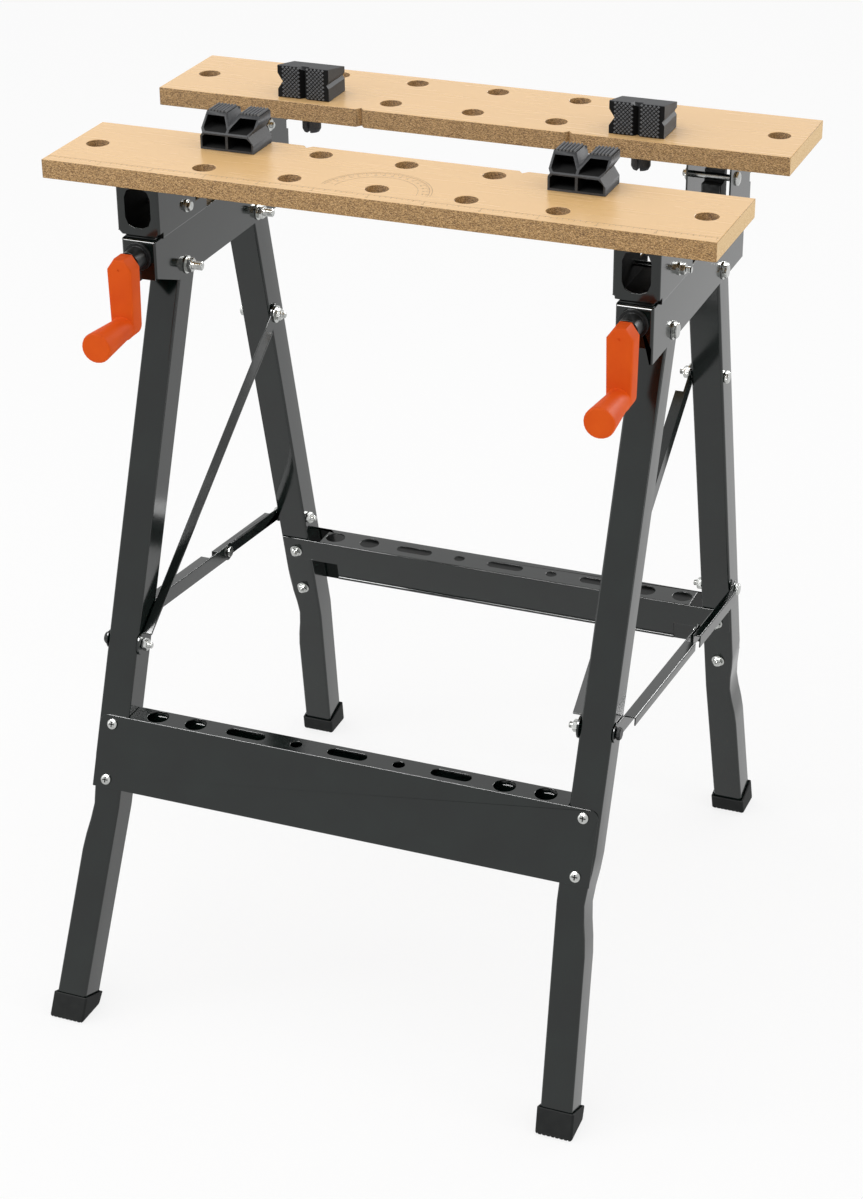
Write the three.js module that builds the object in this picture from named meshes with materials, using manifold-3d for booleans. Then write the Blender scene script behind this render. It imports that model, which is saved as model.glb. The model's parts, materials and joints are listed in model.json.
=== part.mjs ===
// A folding clamping workbench. Two boards sit on a pair of steel rails and are cranked together like a
// vise. The rails stand on two pairs of square-tube legs, which fold forward together under them.
// Millimetres, +Z up, X along the boards, -Y to the front where the cranks are.
import * as THREE from "three";
import { mergeVertices } from "three/addons/utils/BufferGeometryUtils.js";
import Module from "manifold-3d";

const wasm = await Module();
wasm.setup();

// Clearances
const GAP = 0.3; // between pieces that touch
const RUN = 0.3; // round a shank or a shaft
const PASS = 2; // a cutting tool runs this far past what it cuts

// Boards
const BOARD_LENGTH = 605;
const BOARD_WIDTH = 113;
const BOARD_THICKNESS = 17;
const BOARD_NOSE = 26.5; // front board in front of the rails
const JAW_OPENING = 113;
const JAW_TRAVEL = 110;
const HOLE_RADIUS = 10;
const HOLE_COLUMNS = 5;
const HOLE_PITCH = 80;
const FRONT_ROW = 29; // in front of the board's middle
const BACK_ROW = 37.5; // behind the board's middle
const END_HOLE_INSET = 25;
const NOTCH_PLACE = 100; // V notches in the gripping edge, from the middle
const NOTCH_HALF_WIDTH = 4;
const NOTCH_DEPTH = 5;

// Legs
const BOARD_OVERHANG = 74.8; // board past the middle of each leg and rail
const LEG_WIDTH = 29.5;
const LEG_DEPTH = 29.5;
const LEG_WALL = 1.5;
const LEG_HEAD = 11; // leg above its pivot
const BOLT_INSET = 7.5; // bolt line behind the leg's front face
const FRONT_LEAN = 21.6; // degrees, feet forward
const REAR_LEAN = 14.4; // degrees, feet back
const FRONT_BEND_DROP = 16.6; // bend below the tray's outer plate
const REAR_BEND_DROP = 30.7;
const FRONT_KICK = 12.4; // how far out the bend takes the feet
const REAR_KICK = 7.2;
const REAR_TOE = 8; // how far forward it takes the rear feet
const DENT_DEPTH = 4; // the bend crushes the outer wall
const DENT_REACH = 45;
const BOOT_WALL = 2.2;
const BOOT_HEIGHT = 25; // on the deeper side
const BOOT_GRIP = 6; // tube inside the boot
const FRONT_HEEL = 3; // front boots' soles stop this far inside their backs

// Rails
const PIVOT_HEIGHT = 656;
const PIVOT_SPACING = 152.3;
const RAIL_WALL = 1.5;
const RAIL_PLAY = 0.3; // beside the leg
const RAIL_ABOVE = 40.5; // above the pivots
const RAIL_BELOW = 9.5;
const RAIL_NOSE = 58.8; // in front of the front pivot
const RAIL_TAIL = 65.4; // behind the rear pivot
const RAIL_FACE = 36; // height of the closed front end
const RAIL_CUT_LENGTH = 43; // slanting cut at the front of the inner wall's lower edge
const RAIL_CUT_HEIGHT = 16;

// Brackets between rails and boards
const BRACKET_WIDTH = 41;
const FRONT_BRACKET_DEPTH = 94;
const REAR_BRACKET_DEPTH = 68;
const BRACKET_HEIGHT = 56;
const BRACKET_WALL = 1.5;
const FRONT_BRACKET_INSET = 2.5; // behind the rail's front end
const REAR_BRACKET_INSET = 9.5; // behind its board's edge
const BRACKET_LIFT = 3; // front plate above the rail
const BRACKET_SKIRT = 10; // rear bracket below the rail's top
const BRACKET_CHAMFER = 6;
const WINDOW_WIDTH = 25; // opening in the front bracket's front plate
const WINDOW_HEIGHT = 36;
const WINDOW_CORNER = 9;

// Spindles, nuts and cranks
const SPINDLE_RISE = 26; // above the pivots
const SPINDLE_RADIUS = 4.5;
const SPINDLE_TAIL = 12; // behind the nut
const BUSH_RADIUS = 10;
const BUSH_FLANGE = 13;
const BUSH_FLANGE_THICKNESS = 3;
const BUSH_LENGTH = 20;
const NUT_WIDTH = 18;
const NUT_LENGTH = 20;
const NUT_UNDER = 6.8; // below the spindle's axis
const NUT_NECK = 9.4; // through the rail's slot
const NUT_TOP = 6; // above the cross pin
const PIN_RADIUS = 3;
const PIN_HEAD = 5.5;
const PIN_HEAD_THICKNESS = 3;
const PIN_INSET = 19; // behind the bracket's front edge
const PIN_RISE = 39.5; // above the rail
const CRANK_RADIUS = 54;
const CRANK_THICKNESS = 18;
const CRANK_HUB = 12; // half the arm's width at the spindle
const CRANK_TOP = 9.5; // arm above the spindle
const CRANK_CORNER = 8;
const CRANK_FOOT = 11;
const KNOB_LENGTH = 50;
const KNOB_NECK = 10.5;
const KNOB_RADIUS = 13.8;
const CRANK_SOCKET = 14; // spindle inside the crank's hub

// Trays
const TRAY_SHEET = 1.2;
const TRAY_OUTER = 68; // height of the outer plate, along the leg
const TRAY_INNER = 45; // height of the inner plate
const TRAY_TAB = 27; // height of the inner plate's ends on the legs
const TRAY_END = 1.5; // plate short of the leg's outer face
const TRAY_CORNER = 8;
const TRAY_SHORT = 13; // rear flange short of the legs
const TRAY_NOTCH = 30; // inner plate's lower edge short of the legs
const FRONT_TRAY_DEPTH = 24; // flange of the front tray, which has its inner plate between the legs
const FRONT_TRAY_DROP = 416.6; // along the leg, from the pivot
const REAR_TRAY_DROP = 408.3;
const TOOL_HOLES = [-0.997, -0.794, 0.794, 0.997]; // as shares of the room between the end holes
const DRIVER_HOLES = [-0.264, 0.264];
const TOOL_SLOTS = [-0.528, 0, 0.528];
const TOOL_HOLE_RADIUS = 10;
const DRIVER_HOLE_RADIUS = 5.5;
const TOOL_SLOT_LENGTH = 38;
const TOOL_SLOT_WIDTH = 12;

// Fold linkage
const BRACE_FRONT_DROP = 347.6; // along the front leg, from the pivot
const BRACE_REAR_DROP = 118.3; // along the rear leg
const STAY_REAR_DROP = 375.8;
const STAY_FRONT_LENGTH = 249.5;
const BRACE_SHEET = 2;
const BRACE_HEIGHT = 14;
const BRACE_FLANGE = 7.5;
const BRACE_EYE = 10.5; // radius of the flat ends
const BRACE_FLANGE_START = 8; // from the front bolt
const BRACE_FLANGE_END = 26; // from the rear bolt
const BRACE_OPEN_HOLE = 6.2; // loose hole over the rear bolt
const LINK_PLAY = 0.5; // beside the leg
const STAY_SHEET = 1.2;
const STAY_HEIGHT = 15;
const STAY_WIDTH = 11;
const STAY_LIP = 8;
const STAY_EYE = 9;
const STAY_TAIL = 20; // rear half past the elbow
const STAY_FLAT = 22; // flat stretch at each leg
const STAY_BARE = 42; // front half has no flange beside the elbow
const REAR_STAY_HEIGHT = 12;
const REAR_STAY_WIDTH = 8;
const RIVET_RADIUS = 3;
const RIVET_HEAD = 5.5;
const RIVET_HEAD_THICKNESS = 2.2;

// Fasteners
const PIVOT_RADIUS = 4;
const PIVOT_HEX = 7.5;
const PIVOT_HEAD = 2.5;
const PIVOT_NUT = 6.5;
const PIVOT_TIP = 9;
const BOLT_RADIUS = 3;
const BOLT_HEX = 5.8;
const BOLT_HEAD = 4;
const BOLT_NUT = 5;
const BOLT_TIP = 4;
const WASHER_RADIUS = 8.5;
const WASHER_THICKNESS = 1.4;
const SCREW_RADIUS = 2.5;
const SCREW_HEAD = 5.5;
const SCREW_HEAD_THICKNESS = 2.6;
const SCREW_NUT = 5;
const SCREW_NUT_THICKNESS = 4.5;
const SCREW_TIP = 3;
const SCREW_EDGE = 8; // from the outer plate's edges

// Dogs
const DOG_WIDTH = 51;
const DOG_DEPTH = 38;
const DOG_HEIGHT = 29.5;
const DOG_REACH = 17; // gripping face from the peg's axis
const DOG_SLOPE = 16; // the upper outer face leans in this far
const DOG_WALL = 3.5;
const DOG_CELL_DEPTH = 17;
const DOG_GROOVE = 5;
const DOG_FLANK = 7.5; // half the height of the large groove in one side
const DOG_NOTCH = 2.2; // small groove in the other side
const DOG_NOTCH_FLANK = 3;
const DOG_VALLEY = 8; // V along the top
const DOG_VALLEY_HALF = 5.5;
const PEG_LENGTH = 35;
const PEG_SLIT = 3;

// Facets of round pieces
const FINE_ROUND = 24;
const ROUND = 16;
const SMALL_ROUND = 10;
const HEX = 6;

// Places worked out from the sizes above
const FRONT_PIVOT = -PIVOT_SPACING / 2;
const REAR_PIVOT = PIVOT_SPACING / 2;
const RAIL_TOP = PIVOT_HEIGHT + RAIL_ABOVE;
const RAIL_BOTTOM = PIVOT_HEIGHT - RAIL_BELOW;
const RAIL_FRONT = FRONT_PIVOT - RAIL_NOSE;
const RAIL_BACK = REAR_PIVOT + RAIL_TAIL;
const RAIL_HALF = LEG_WIDTH / 2 + RAIL_PLAY + RAIL_WALL;
const BOARD_BOTTOM = RAIL_TOP + GAP + BRACKET_HEIGHT + GAP;
const BOARD_TOP = BOARD_BOTTOM + BOARD_THICKNESS;
const FRONT_BOARD = RAIL_FRONT - BOARD_NOSE;
const REAR_BOARD = FRONT_BOARD + BOARD_WIDTH + JAW_OPENING;
const FRONT_BRACKET = RAIL_FRONT + FRONT_BRACKET_INSET;
const REAR_BRACKET = REAR_BOARD + REAR_BRACKET_INSET;
const SPINDLE_HEIGHT = PIVOT_HEIGHT + SPINDLE_RISE;
const PIN_PLACE = REAR_BRACKET + PIN_INSET;
const PIN_HEIGHT = RAIL_TOP + PIN_RISE;
const CRANK_BACK = RAIL_FRONT - GAP - BUSH_LENGTH - GAP;
const CRANK_FRONT = CRANK_BACK - CRANK_THICKNESS;
const LANE = BOARD_LENGTH / 2 - BOARD_OVERHANG; // middle of each leg and rail, from the middle of the bench
const LEG_INNER = LANE - LEG_WIDTH / 2;
const LEG_OUTER = LANE + LEG_WIDTH / 2;
const TOOL_SPREAD = LEG_INNER - TRAY_SHORT - TOOL_HOLE_RADIUS - TRAY_SHEET;
const FACE_FRONT = -BOLT_INSET; // leg faces in the leg's own frame, whose origin is its pivot
const FACE_BACK = LEG_DEPTH - BOLT_INSET;
const LEGS = {
  front: {
    pivot: FRONT_PIVOT,
    turn: -FRONT_LEAN,
    bend: -(FRONT_TRAY_DROP + TRAY_OUTER + FRONT_BEND_DROP),
    kick: FRONT_KICK,
    toe: 0,
    heel: FRONT_HEEL,
  },
  rear: {
    pivot: REAR_PIVOT,
    turn: REAR_LEAN,
    bend: -(REAR_TRAY_DROP + TRAY_OUTER + REAR_BEND_DROP),
    kick: REAR_KICK,
    toe: REAR_TOE,
    heel: 0,
  },
};
const SIDES = { left: -1, right: 1 };

// Finishes
function finish(color, roughness, metalness) {
  return new THREE.MeshStandardMaterial({ color, roughness, metalness });
}
const PAINT = finish(0x343735, 0.35, 0.2);
const WOOD = finish(0xe8c593, 0.6, 0);
const ZINC = finish(0xc9ccc8, 0.3, 0.9);
const RUBBER = finish(0x2b2d2c, 0.8, 0);
const ORANGE = finish(0xd95a26, 0.45, 0);
const PLASTIC = finish(0x3c3d3e, 0.6, 0);
const BLACK_STEEL = finish(0x1c1d1d, 0.4, 0.6);

// Solids from geometry, and back
function solidOf(geometry) {
  const bare = geometry.clone();
  bare.deleteAttribute("normal");
  bare.deleteAttribute("uv");
  const merged = mergeVertices(bare, 1e-4);
  const vertProperties = Float32Array.from(merged.attributes.position.array);
  const triVerts = Uint32Array.from(merged.index.array);
  return new wasm.Manifold(new wasm.Mesh({ numProp: 3, vertProperties, triVerts }));
}

function geometryOf(solid) {
  const mesh = solid.getMesh();
  const geometry = new THREE.BufferGeometry();
  geometry.setAttribute("position", new THREE.BufferAttribute(mesh.vertProperties, 3));
  geometry.setIndex(new THREE.BufferAttribute(mesh.triVerts, 1));
  return geometry;
}

function join(...geometries) {
  return geometryOf(geometries.map(solidOf).reduce((whole, piece) => whole.add(piece)));
}

function cut(body, ...tools) {
  return geometryOf(tools.map(solidOf).reduce((whole, tool) => whole.subtract(tool), solidOf(body)));
}

// Basic shapes, given by their ends
function box([x0, x1], [y0, y1], [z0, z1], segments = 1) {
  const geometry = new THREE.BoxGeometry(x1 - x0, y1 - y0, z1 - z0, 1, 1, segments);
  return geometry.translate((x0 + x1) / 2, (y0 + y1) / 2, (z0 + z1) / 2);
}

const TURN = { x: [0, 0, -Math.PI / 2], y: [0, 0, 0], z: [Math.PI / 2, 0, 0] };

// A cylinder along an axis, from one place on it to another; at gives the other two coordinates.
function rod(axis, radius, from, to, at, facets = ROUND, farRadius = radius) {
  const geometry = new THREE.CylinderGeometry(farRadius, radius, to - from, facets);
  geometry.applyMatrix4(new THREE.Matrix4().makeRotationFromEuler(new THREE.Euler(...TURN[axis])));
  const middle = (from + to) / 2;
  const place = { x: [middle, ...at], y: [at[0], middle, at[1]], z: [...at, middle] };
  return geometry.translate(...place[axis]);
}

function sweep(outline, depth, curveSegments) {
  return new THREE.ExtrudeGeometry(outline, { depth, bevelEnabled: false, curveSegments });
}

// An outline of (y, z) points swept along X.
function sweepX(outline, from, to) {
  const geometry = sweep(outline, to - from, 6);
  const toYZ = new THREE.Matrix4().set(0, 0, 1, 0, 1, 0, 0, 0, 0, 1, 0, 0, 0, 0, 0, 1);
  return geometry.applyMatrix4(toYZ).translate(from, 0, 0);
}

// An outline of (x, z) points swept along Y.
function sweepY(outline, from, to) {
  const geometry = sweep(outline, to - from, 7);
  return geometry.rotateX(Math.PI / 2).translate(0, to, 0);
}

// An outline of (x, y) points swept along Z.
function sweepZ(outline, from, to) {
  const geometry = sweep(outline, to - from, 10);
  return geometry.translate(0, 0, from);
}

const polygon = (...points) => new THREE.Shape(points.map(([a, b]) => new THREE.Vector2(a, b)));

// Two half circles joined by straight sides, along the outline's first axis.
function obround(middle, height, length, width) {
  const radius = width / 2;
  const reach = length / 2 - radius;
  const outline = new THREE.Shape();
  outline.absarc(middle + reach, height, radius, -Math.PI / 2, Math.PI / 2);
  outline.absarc(middle - reach, height, radius, Math.PI / 2, Math.PI * 1.5);
  return outline;
}

// A flat link of (y, z) outline with round ends of their own radius and a narrower shank.
function linkOutline(length, eye, farEye, height) {
  const half = height / 2;
  const near = Math.asin(Math.min(1, half / eye));
  const far = Math.asin(Math.min(1, half / farEye));
  const outline = new THREE.Shape();
  outline.absarc(0, 0, eye, near, 2 * Math.PI - near);
  outline.absarc(length, 0, farEye, Math.PI + far, 3 * Math.PI - far);
  return outline;
}

// X limits of something that lies between two distances from the middle, on one side
const across = (side, near, far) => (side > 0 ? [near, far] : [-far, -near]);
const radians = THREE.MathUtils.degToRad;

function piece(name, geometry, material) {
  const mesh = new THREE.Mesh(geometry, material);
  mesh.name = name;
  return mesh;
}

// Coaxial discs along X on one side, from inside to outside: [near, far, radius, facets].
function stackX(side, at, discs) {
  return join(
    ...discs.map(([near, far, radius, facets]) => {
      const [from, to] = across(side, near, far);
      return rod("x", radius, from, to, at, facets);
    }),
  );
}

// A point on a leg's bolt line, as (y, z), a distance below its pivot
function onLeg({ pivot, turn }, drop) {
  const angle = radians(turn);
  return new THREE.Vector2(pivot + drop * Math.sin(angle), PIVOT_HEIGHT - drop * Math.cos(angle));
}

const STAY_FRONT_PIN = onLeg(LEGS.front, BRACE_FRONT_DROP);
const BRACE_PIN = onLeg(LEGS.rear, BRACE_REAR_DROP);
const STAY_REAR_PIN = onLeg(LEGS.rear, STAY_REAR_DROP);

// Rails, boards and brackets

function makeRail(side) {
  const inside = RAIL_HALF - RAIL_WALL;
  const body = box(
    across(side, LANE - RAIL_HALF, LANE + RAIL_HALF),
    [RAIL_FRONT, RAIL_BACK],
    [RAIL_BOTTOM, RAIL_TOP],
  );
  const hollow = box(
    across(side, LANE - inside, LANE + inside),
    [RAIL_FRONT + RAIL_WALL, RAIL_BACK + PASS],
    [RAIL_BOTTOM - PASS, RAIL_TOP - RAIL_WALL],
  );
  const slotHalf = NUT_LENGTH / 2 + PASS;
  const slot = box(
    across(side, LANE - NUT_NECK / 2 - GAP, LANE + NUT_NECK / 2 + GAP),
    [PIN_PLACE - JAW_TRAVEL - slotHalf, PIN_PLACE + slotHalf],
    [RAIL_TOP - RAIL_WALL - PASS, RAIL_TOP + PASS],
  );
  const endPlate = [RAIL_FRONT - PASS, RAIL_FRONT + RAIL_WALL + PASS];
  const spindleHole = rod("y", SPINDLE_RADIUS + RUN, ...endPlate, [side * LANE, SPINDLE_HEIGHT]);
  const pivotHoles = [FRONT_PIVOT, REAR_PIVOT].map((y) => {
    const [from, to] = across(side, LANE - RAIL_HALF - PASS, LANE + RAIL_HALF + PASS);
    return rod("x", PIVOT_RADIUS + RUN, from, to, [y, PIVOT_HEIGHT], SMALL_ROUND);
  });
  const face = box(
    across(side, LANE - inside, LANE + inside),
    endPlate,
    [RAIL_BOTTOM - PASS, RAIL_TOP - RAIL_FACE],
  );
  const slant = sweepX(
    polygon(
      [RAIL_FRONT - PASS, RAIL_BOTTOM - PASS], [RAIL_FRONT + RAIL_CUT_LENGTH, RAIL_BOTTOM - PASS],
      [RAIL_FRONT + RAIL_CUT_LENGTH, RAIL_BOTTOM], [RAIL_FRONT, RAIL_BOTTOM + RAIL_CUT_HEIGHT],
      [RAIL_FRONT - PASS, RAIL_BOTTOM + RAIL_CUT_HEIGHT],
    ),
    ...across(side, LANE - RAIL_HALF - PASS, LANE - inside),
  );
  return cut(body, hollow, slot, face, slant, spindleHole, ...pivotHoles);
}

const middleColumn = (HOLE_COLUMNS - 1) / 2;
const holeColumns = Array.from({ length: HOLE_COLUMNS }, (_, i) => (i - middleColumn) * HOLE_PITCH);

// A board from its front edge. grip is the side of its gripping edge, 1 for the back and -1 for the front.
function makeBoard(front, grip) {
  const middle = front + BOARD_WIDTH / 2;
  const back = front + BOARD_WIDTH;
  const end = BOARD_LENGTH / 2;
  const heights = [BOARD_BOTTOM - PASS, BOARD_TOP + PASS];
  const rows = [middle - FRONT_ROW, middle + BACK_ROW];
  const places = holeColumns.flatMap((x) => rows.map((y) => [x, y]));
  places.push([END_HOLE_INSET - end, middle], [end - END_HOLE_INSET, middle]);
  const edge = grip > 0 ? back : front;
  const notches = [-NOTCH_PLACE, NOTCH_PLACE].map((x) =>
    sweepZ(
      polygon(
        [x - NOTCH_HALF_WIDTH * 2, edge + grip * NOTCH_DEPTH],
        [x + NOTCH_HALF_WIDTH * 2, edge + grip * NOTCH_DEPTH],
        [x, edge - grip * NOTCH_DEPTH],
      ),
      ...heights,
    ),
  );
  const holes = places.map((place) => rod("z", HOLE_RADIUS, ...heights, place, FINE_ROUND));
  return cut(box([-end, end], [front, back], [BOARD_BOTTOM, BOARD_TOP]), ...holes, ...notches);
}

// A rectangle with its corners rounded off in two steps.
function windowOutline() {
  const step = WINDOW_CORNER * (1 - Math.SQRT1_2);
  const quarter = [
    [WINDOW_WIDTH / 2, WINDOW_HEIGHT / 2 - WINDOW_CORNER],
    [WINDOW_WIDTH / 2 - step, WINDOW_HEIGHT / 2 - step],
    [WINDOW_WIDTH / 2 - WINDOW_CORNER, WINDOW_HEIGHT / 2],
  ];
  const right = [...quarter.map(([x, z]) => [x, -z]).reverse(), ...quarter];
  return polygon(...right, ...right.map(([x, z]) => [-x, z]).reverse());
}

function makeFrontBracket(side) {
  const half = BRACKET_WIDTH / 2;
  const bottom = RAIL_TOP + GAP;
  const top = BOARD_BOTTOM - GAP;
  const back = FRONT_BRACKET + FRONT_BRACKET_DEPTH;
  const body = box(across(side, LANE - half, LANE + half), [FRONT_BRACKET, back], [bottom, top]);
  const hollow = box(
    across(side, LANE - half + BRACKET_WALL, LANE + half - BRACKET_WALL),
    [FRONT_BRACKET + BRACKET_WALL, back + PASS],
    [bottom + BRACKET_WALL, top - BRACKET_WALL],
  );
  const window = sweepY(windowOutline(), -PASS, BRACKET_WALL + PASS);
  window.translate(side * LANE, FRONT_BRACKET, (bottom + top) / 2);
  const corners = [-1, 1].map((hand) => {
    const x = side * LANE + hand * half;
    return sweepY(
      polygon(
        [x - hand * BRACKET_CHAMFER, bottom - PASS], [x + hand * PASS, bottom - PASS],
        [x + hand * PASS, bottom + BRACKET_CHAMFER], [x - hand * BRACKET_WALL, bottom + BRACKET_CHAMFER],
        [x - hand * BRACKET_CHAMFER, bottom + BRACKET_WALL],
      ),
      FRONT_BRACKET - PASS, FRONT_BRACKET + BRACKET_WALL + BRACKET_CHAMFER,
    );
  });
  const foot = box(
    across(side, LANE - half - PASS, LANE + half + PASS),
    [FRONT_BRACKET - PASS, FRONT_BRACKET + BRACKET_WALL],
    [bottom - PASS, bottom + BRACKET_LIFT],
  );
  return cut(body, hollow, window, foot, ...corners);
}

function makeRearBracket(side) {
  const half = BRACKET_WIDTH / 2;
  const bottom = RAIL_TOP - BRACKET_SKIRT;
  const top = BOARD_BOTTOM - GAP;
  const back = REAR_BRACKET + REAR_BRACKET_DEPTH;
  const body = box(across(side, LANE - half, LANE + half), [REAR_BRACKET, back], [bottom, top]);
  const hollow = box(
    across(side, LANE - half + BRACKET_WALL, LANE + half - BRACKET_WALL),
    [REAR_BRACKET - PASS, back + PASS],
    [bottom - PASS, top - BRACKET_WALL],
  );
  const [from, to] = across(side, LANE - half - PASS, LANE + half + PASS);
  return cut(body, hollow, rod("x", PIN_RADIUS + RUN, from, to, [PIN_PLACE, PIN_HEIGHT], SMALL_ROUND));
}

// Vise drive

function makePin(side) {
  const half = BRACKET_WIDTH / 2 + GAP;
  return stackX(side, [PIN_PLACE, PIN_HEIGHT], [
    [LANE - half - PIN_HEAD_THICKNESS, LANE - half, PIN_HEAD, SMALL_ROUND],
    [LANE - half - PIN_HEAD_THICKNESS, LANE + half + PIN_HEAD_THICKNESS, PIN_RADIUS, SMALL_ROUND],
    [LANE + half, LANE + half + PIN_HEAD_THICKNESS, PIN_HEAD, SMALL_ROUND],
  ]);
}

function makeNut(side) {
  const x = side * LANE;
  const length = [PIN_PLACE - NUT_LENGTH / 2, PIN_PLACE + NUT_LENGTH / 2];
  const under = RAIL_TOP - RAIL_WALL - GAP;
  const over = RAIL_TOP + GAP;
  const wide = [x - NUT_WIDTH / 2, x + NUT_WIDTH / 2];
  const neck = [x - NUT_NECK / 2, x + NUT_NECK / 2];
  const body = join(
    box(wide, length, [SPINDLE_HEIGHT - NUT_UNDER, under]),
    box(neck, length, [under - PASS, over + PASS]),
    box(wide, length, [over, PIN_HEIGHT + NUT_TOP]),
  );
  const thread = rod("y", SPINDLE_RADIUS + RUN, length[0] - PASS, length[1] + PASS, [x, SPINDLE_HEIGHT]);
  const pinHole = [wide[0] - PASS, wide[1] + PASS];
  const eye = rod("x", PIN_RADIUS + RUN, ...pinHole, [PIN_PLACE, PIN_HEIGHT], SMALL_ROUND);
  return cut(body, thread, eye);
}

function makeSpindle(side) {
  const back = PIN_PLACE + NUT_LENGTH / 2 + SPINDLE_TAIL;
  return rod("y", SPINDLE_RADIUS, CRANK_BACK - CRANK_SOCKET, back, [side * LANE, SPINDLE_HEIGHT]);
}

function makeBush(side) {
  const back = RAIL_FRONT - GAP;
  const at = [side * LANE, SPINDLE_HEIGHT];
  const body = join(
    rod("y", BUSH_RADIUS, back - BUSH_LENGTH, back, at),
    rod("y", BUSH_FLANGE, back - BUSH_FLANGE_THICKNESS, back, at),
  );
  return cut(body, rod("y", SPINDLE_RADIUS + RUN, back - BUSH_LENGTH - PASS, back + PASS, at));
}

function makeCrank(side) {
  const x = side * LANE;
  const foot = SPINDLE_HEIGHT - CRANK_RADIUS;
  const arm = new THREE.Shape();
  const corner = [CRANK_HUB - CRANK_CORNER, SPINDLE_HEIGHT + CRANK_TOP - CRANK_CORNER];
  arm.absarc(x + corner[0], corner[1], CRANK_CORNER, 0, Math.PI / 2);
  arm.absarc(x - corner[0], corner[1], CRANK_CORNER, Math.PI / 2, Math.PI);
  arm.absarc(x, foot, CRANK_FOOT, Math.PI, 2 * Math.PI);
  const knobFront = CRANK_FRONT - KNOB_LENGTH;
  const body = join(
    sweepY(arm, CRANK_FRONT, CRANK_BACK),
    rod("y", KNOB_RADIUS, knobFront, CRANK_FRONT + PASS, [x, foot], ROUND, KNOB_NECK),
  );
  const deep = CRANK_BACK - CRANK_SOCKET - GAP;
  return cut(body, rod("y", SPINDLE_RADIUS + RUN, deep, CRANK_BACK + PASS, [x, SPINDLE_HEIGHT]));
}

// Legs, in a frame at the pivot with Z along the leg

// Height on the floor, in a leg's frame, of the line at depth y
const floorAt = (leg, y) => (-PIVOT_HEIGHT - y * Math.sin(radians(leg.turn))) / Math.cos(radians(leg.turn));

// How far below the bend a place is, as a share of the leg below the bend
const belowBend = (leg, z) => Math.max(0, leg.bend - z) / (leg.bend - floorAt(leg, 0));

// The same line's height once the bend has taken the foot forward
function soleAt(leg, y) {
  const fall = (Math.tan(radians(leg.turn)) * leg.toe) / (leg.bend - floorAt(leg, 0));
  return (floorAt(leg, y) + fall * leg.bend) / (1 + fall);
}

// Places of the boot's outer faces, its sole's back edge and its top
function bootSize(leg) {
  const front = FACE_FRONT - BOOT_WALL - GAP;
  const back = FACE_BACK + BOOT_WALL + GAP;
  const top = Math.min(soleAt(leg, front), soleAt(leg, back)) + BOOT_HEIGHT;
  return { front, back, heel: back - leg.heel, top };
}

const tubeEnd = (leg) => bootSize(leg).top - BOOT_GRIP;

// Bends a straight tube outwards below the bend and dents its outer wall there.
function splay(geometry, leg, side, dent) {
  const position = geometry.attributes.position;
  for (let i = 0; i < position.count; i += 1) {
    const z = position.getZ(i);
    const share = belowBend(leg, z);
    const outer = side * position.getX(i) > LANE;
    const near = Math.max(0, 1 - Math.abs(z - leg.bend) / DENT_REACH);
    const press = dent && outer ? DENT_DEPTH * near * near * (3 - 2 * near) : 0;
    position.setX(i, position.getX(i) + side * (share * leg.kick - press));
    position.setY(i, position.getY(i) - share * leg.toe);
  }
  return geometry;
}

const BEND_STEPS = 6; // rings of the tube across its dent

// Moves an even-stepped tube's rings to its ends and to the stretch that the dent covers.
function gatherRings(geometry, leg) {
  geometry.computeBoundingBox();
  const { min, max } = geometry.boundingBox;
  const position = geometry.attributes.position;
  const steps = BEND_STEPS + 2;
  for (let i = 0; i < position.count; i += 1) {
    const ring = Math.round(((position.getZ(i) - min.z) / (max.z - min.z)) * steps);
    const inDent = leg.bend + DENT_REACH * ((2 * (ring - 1)) / BEND_STEPS - 1);
    position.setZ(i, ring === 0 ? min.z : ring === steps ? max.z : inDent);
  }
  return geometry;
}

function makeLeg(leg, side, drops, screws) {
  const low = tubeEnd(leg);
  const tube = (wall, past) =>
    splay(
      gatherRings(
        box(
          across(side, LEG_INNER + wall, LEG_OUTER - wall),
          [FACE_FRONT + wall, FACE_BACK - wall],
          [low - past, LEG_HEAD + past],
          BEND_STEPS + 2,
        ),
        leg,
      ),
      leg, side, true,
    );
  const [from, to] = across(side, LEG_INNER - PASS, LEG_OUTER + PASS);
  const holes = drops.map((drop) => rod("x", BOLT_RADIUS + RUN, from, to, [0, -drop], SMALL_ROUND));
  const pivot = rod("x", PIVOT_RADIUS + RUN, from, to, [0, 0], SMALL_ROUND);
  const screwHoles = screws.map((z) =>
    rod("y", SCREW_RADIUS + RUN, FACE_FRONT - PASS, FACE_BACK + PASS, [side * LANE, z], SMALL_ROUND),
  );
  return cut(tube(0, 0), tube(LEG_WALL, PASS), pivot, ...holes, ...screwHoles);
}

function makeBoot(leg, side) {
  const low = tubeEnd(leg);
  const { front, back, heel, top } = bootSize(leg);
  const sole = (y) => [y, soleAt(leg, y)];
  const outline = polygon(sole(front), sole(heel), [back, top], [front, top]);
  const wide = across(side, LEG_INNER - GAP - BOOT_WALL, LEG_OUTER + GAP + BOOT_WALL);
  const pocket = box(
    across(side, LEG_INNER - GAP, LEG_OUTER + GAP),
    [FACE_FRONT - GAP, FACE_BACK + GAP],
    [low - GAP, top + PASS],
  );
  const body = splay(sweepX(outline, ...wide), leg, side, false);
  return cut(body, splay(pocket, leg, side, false));
}

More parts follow.
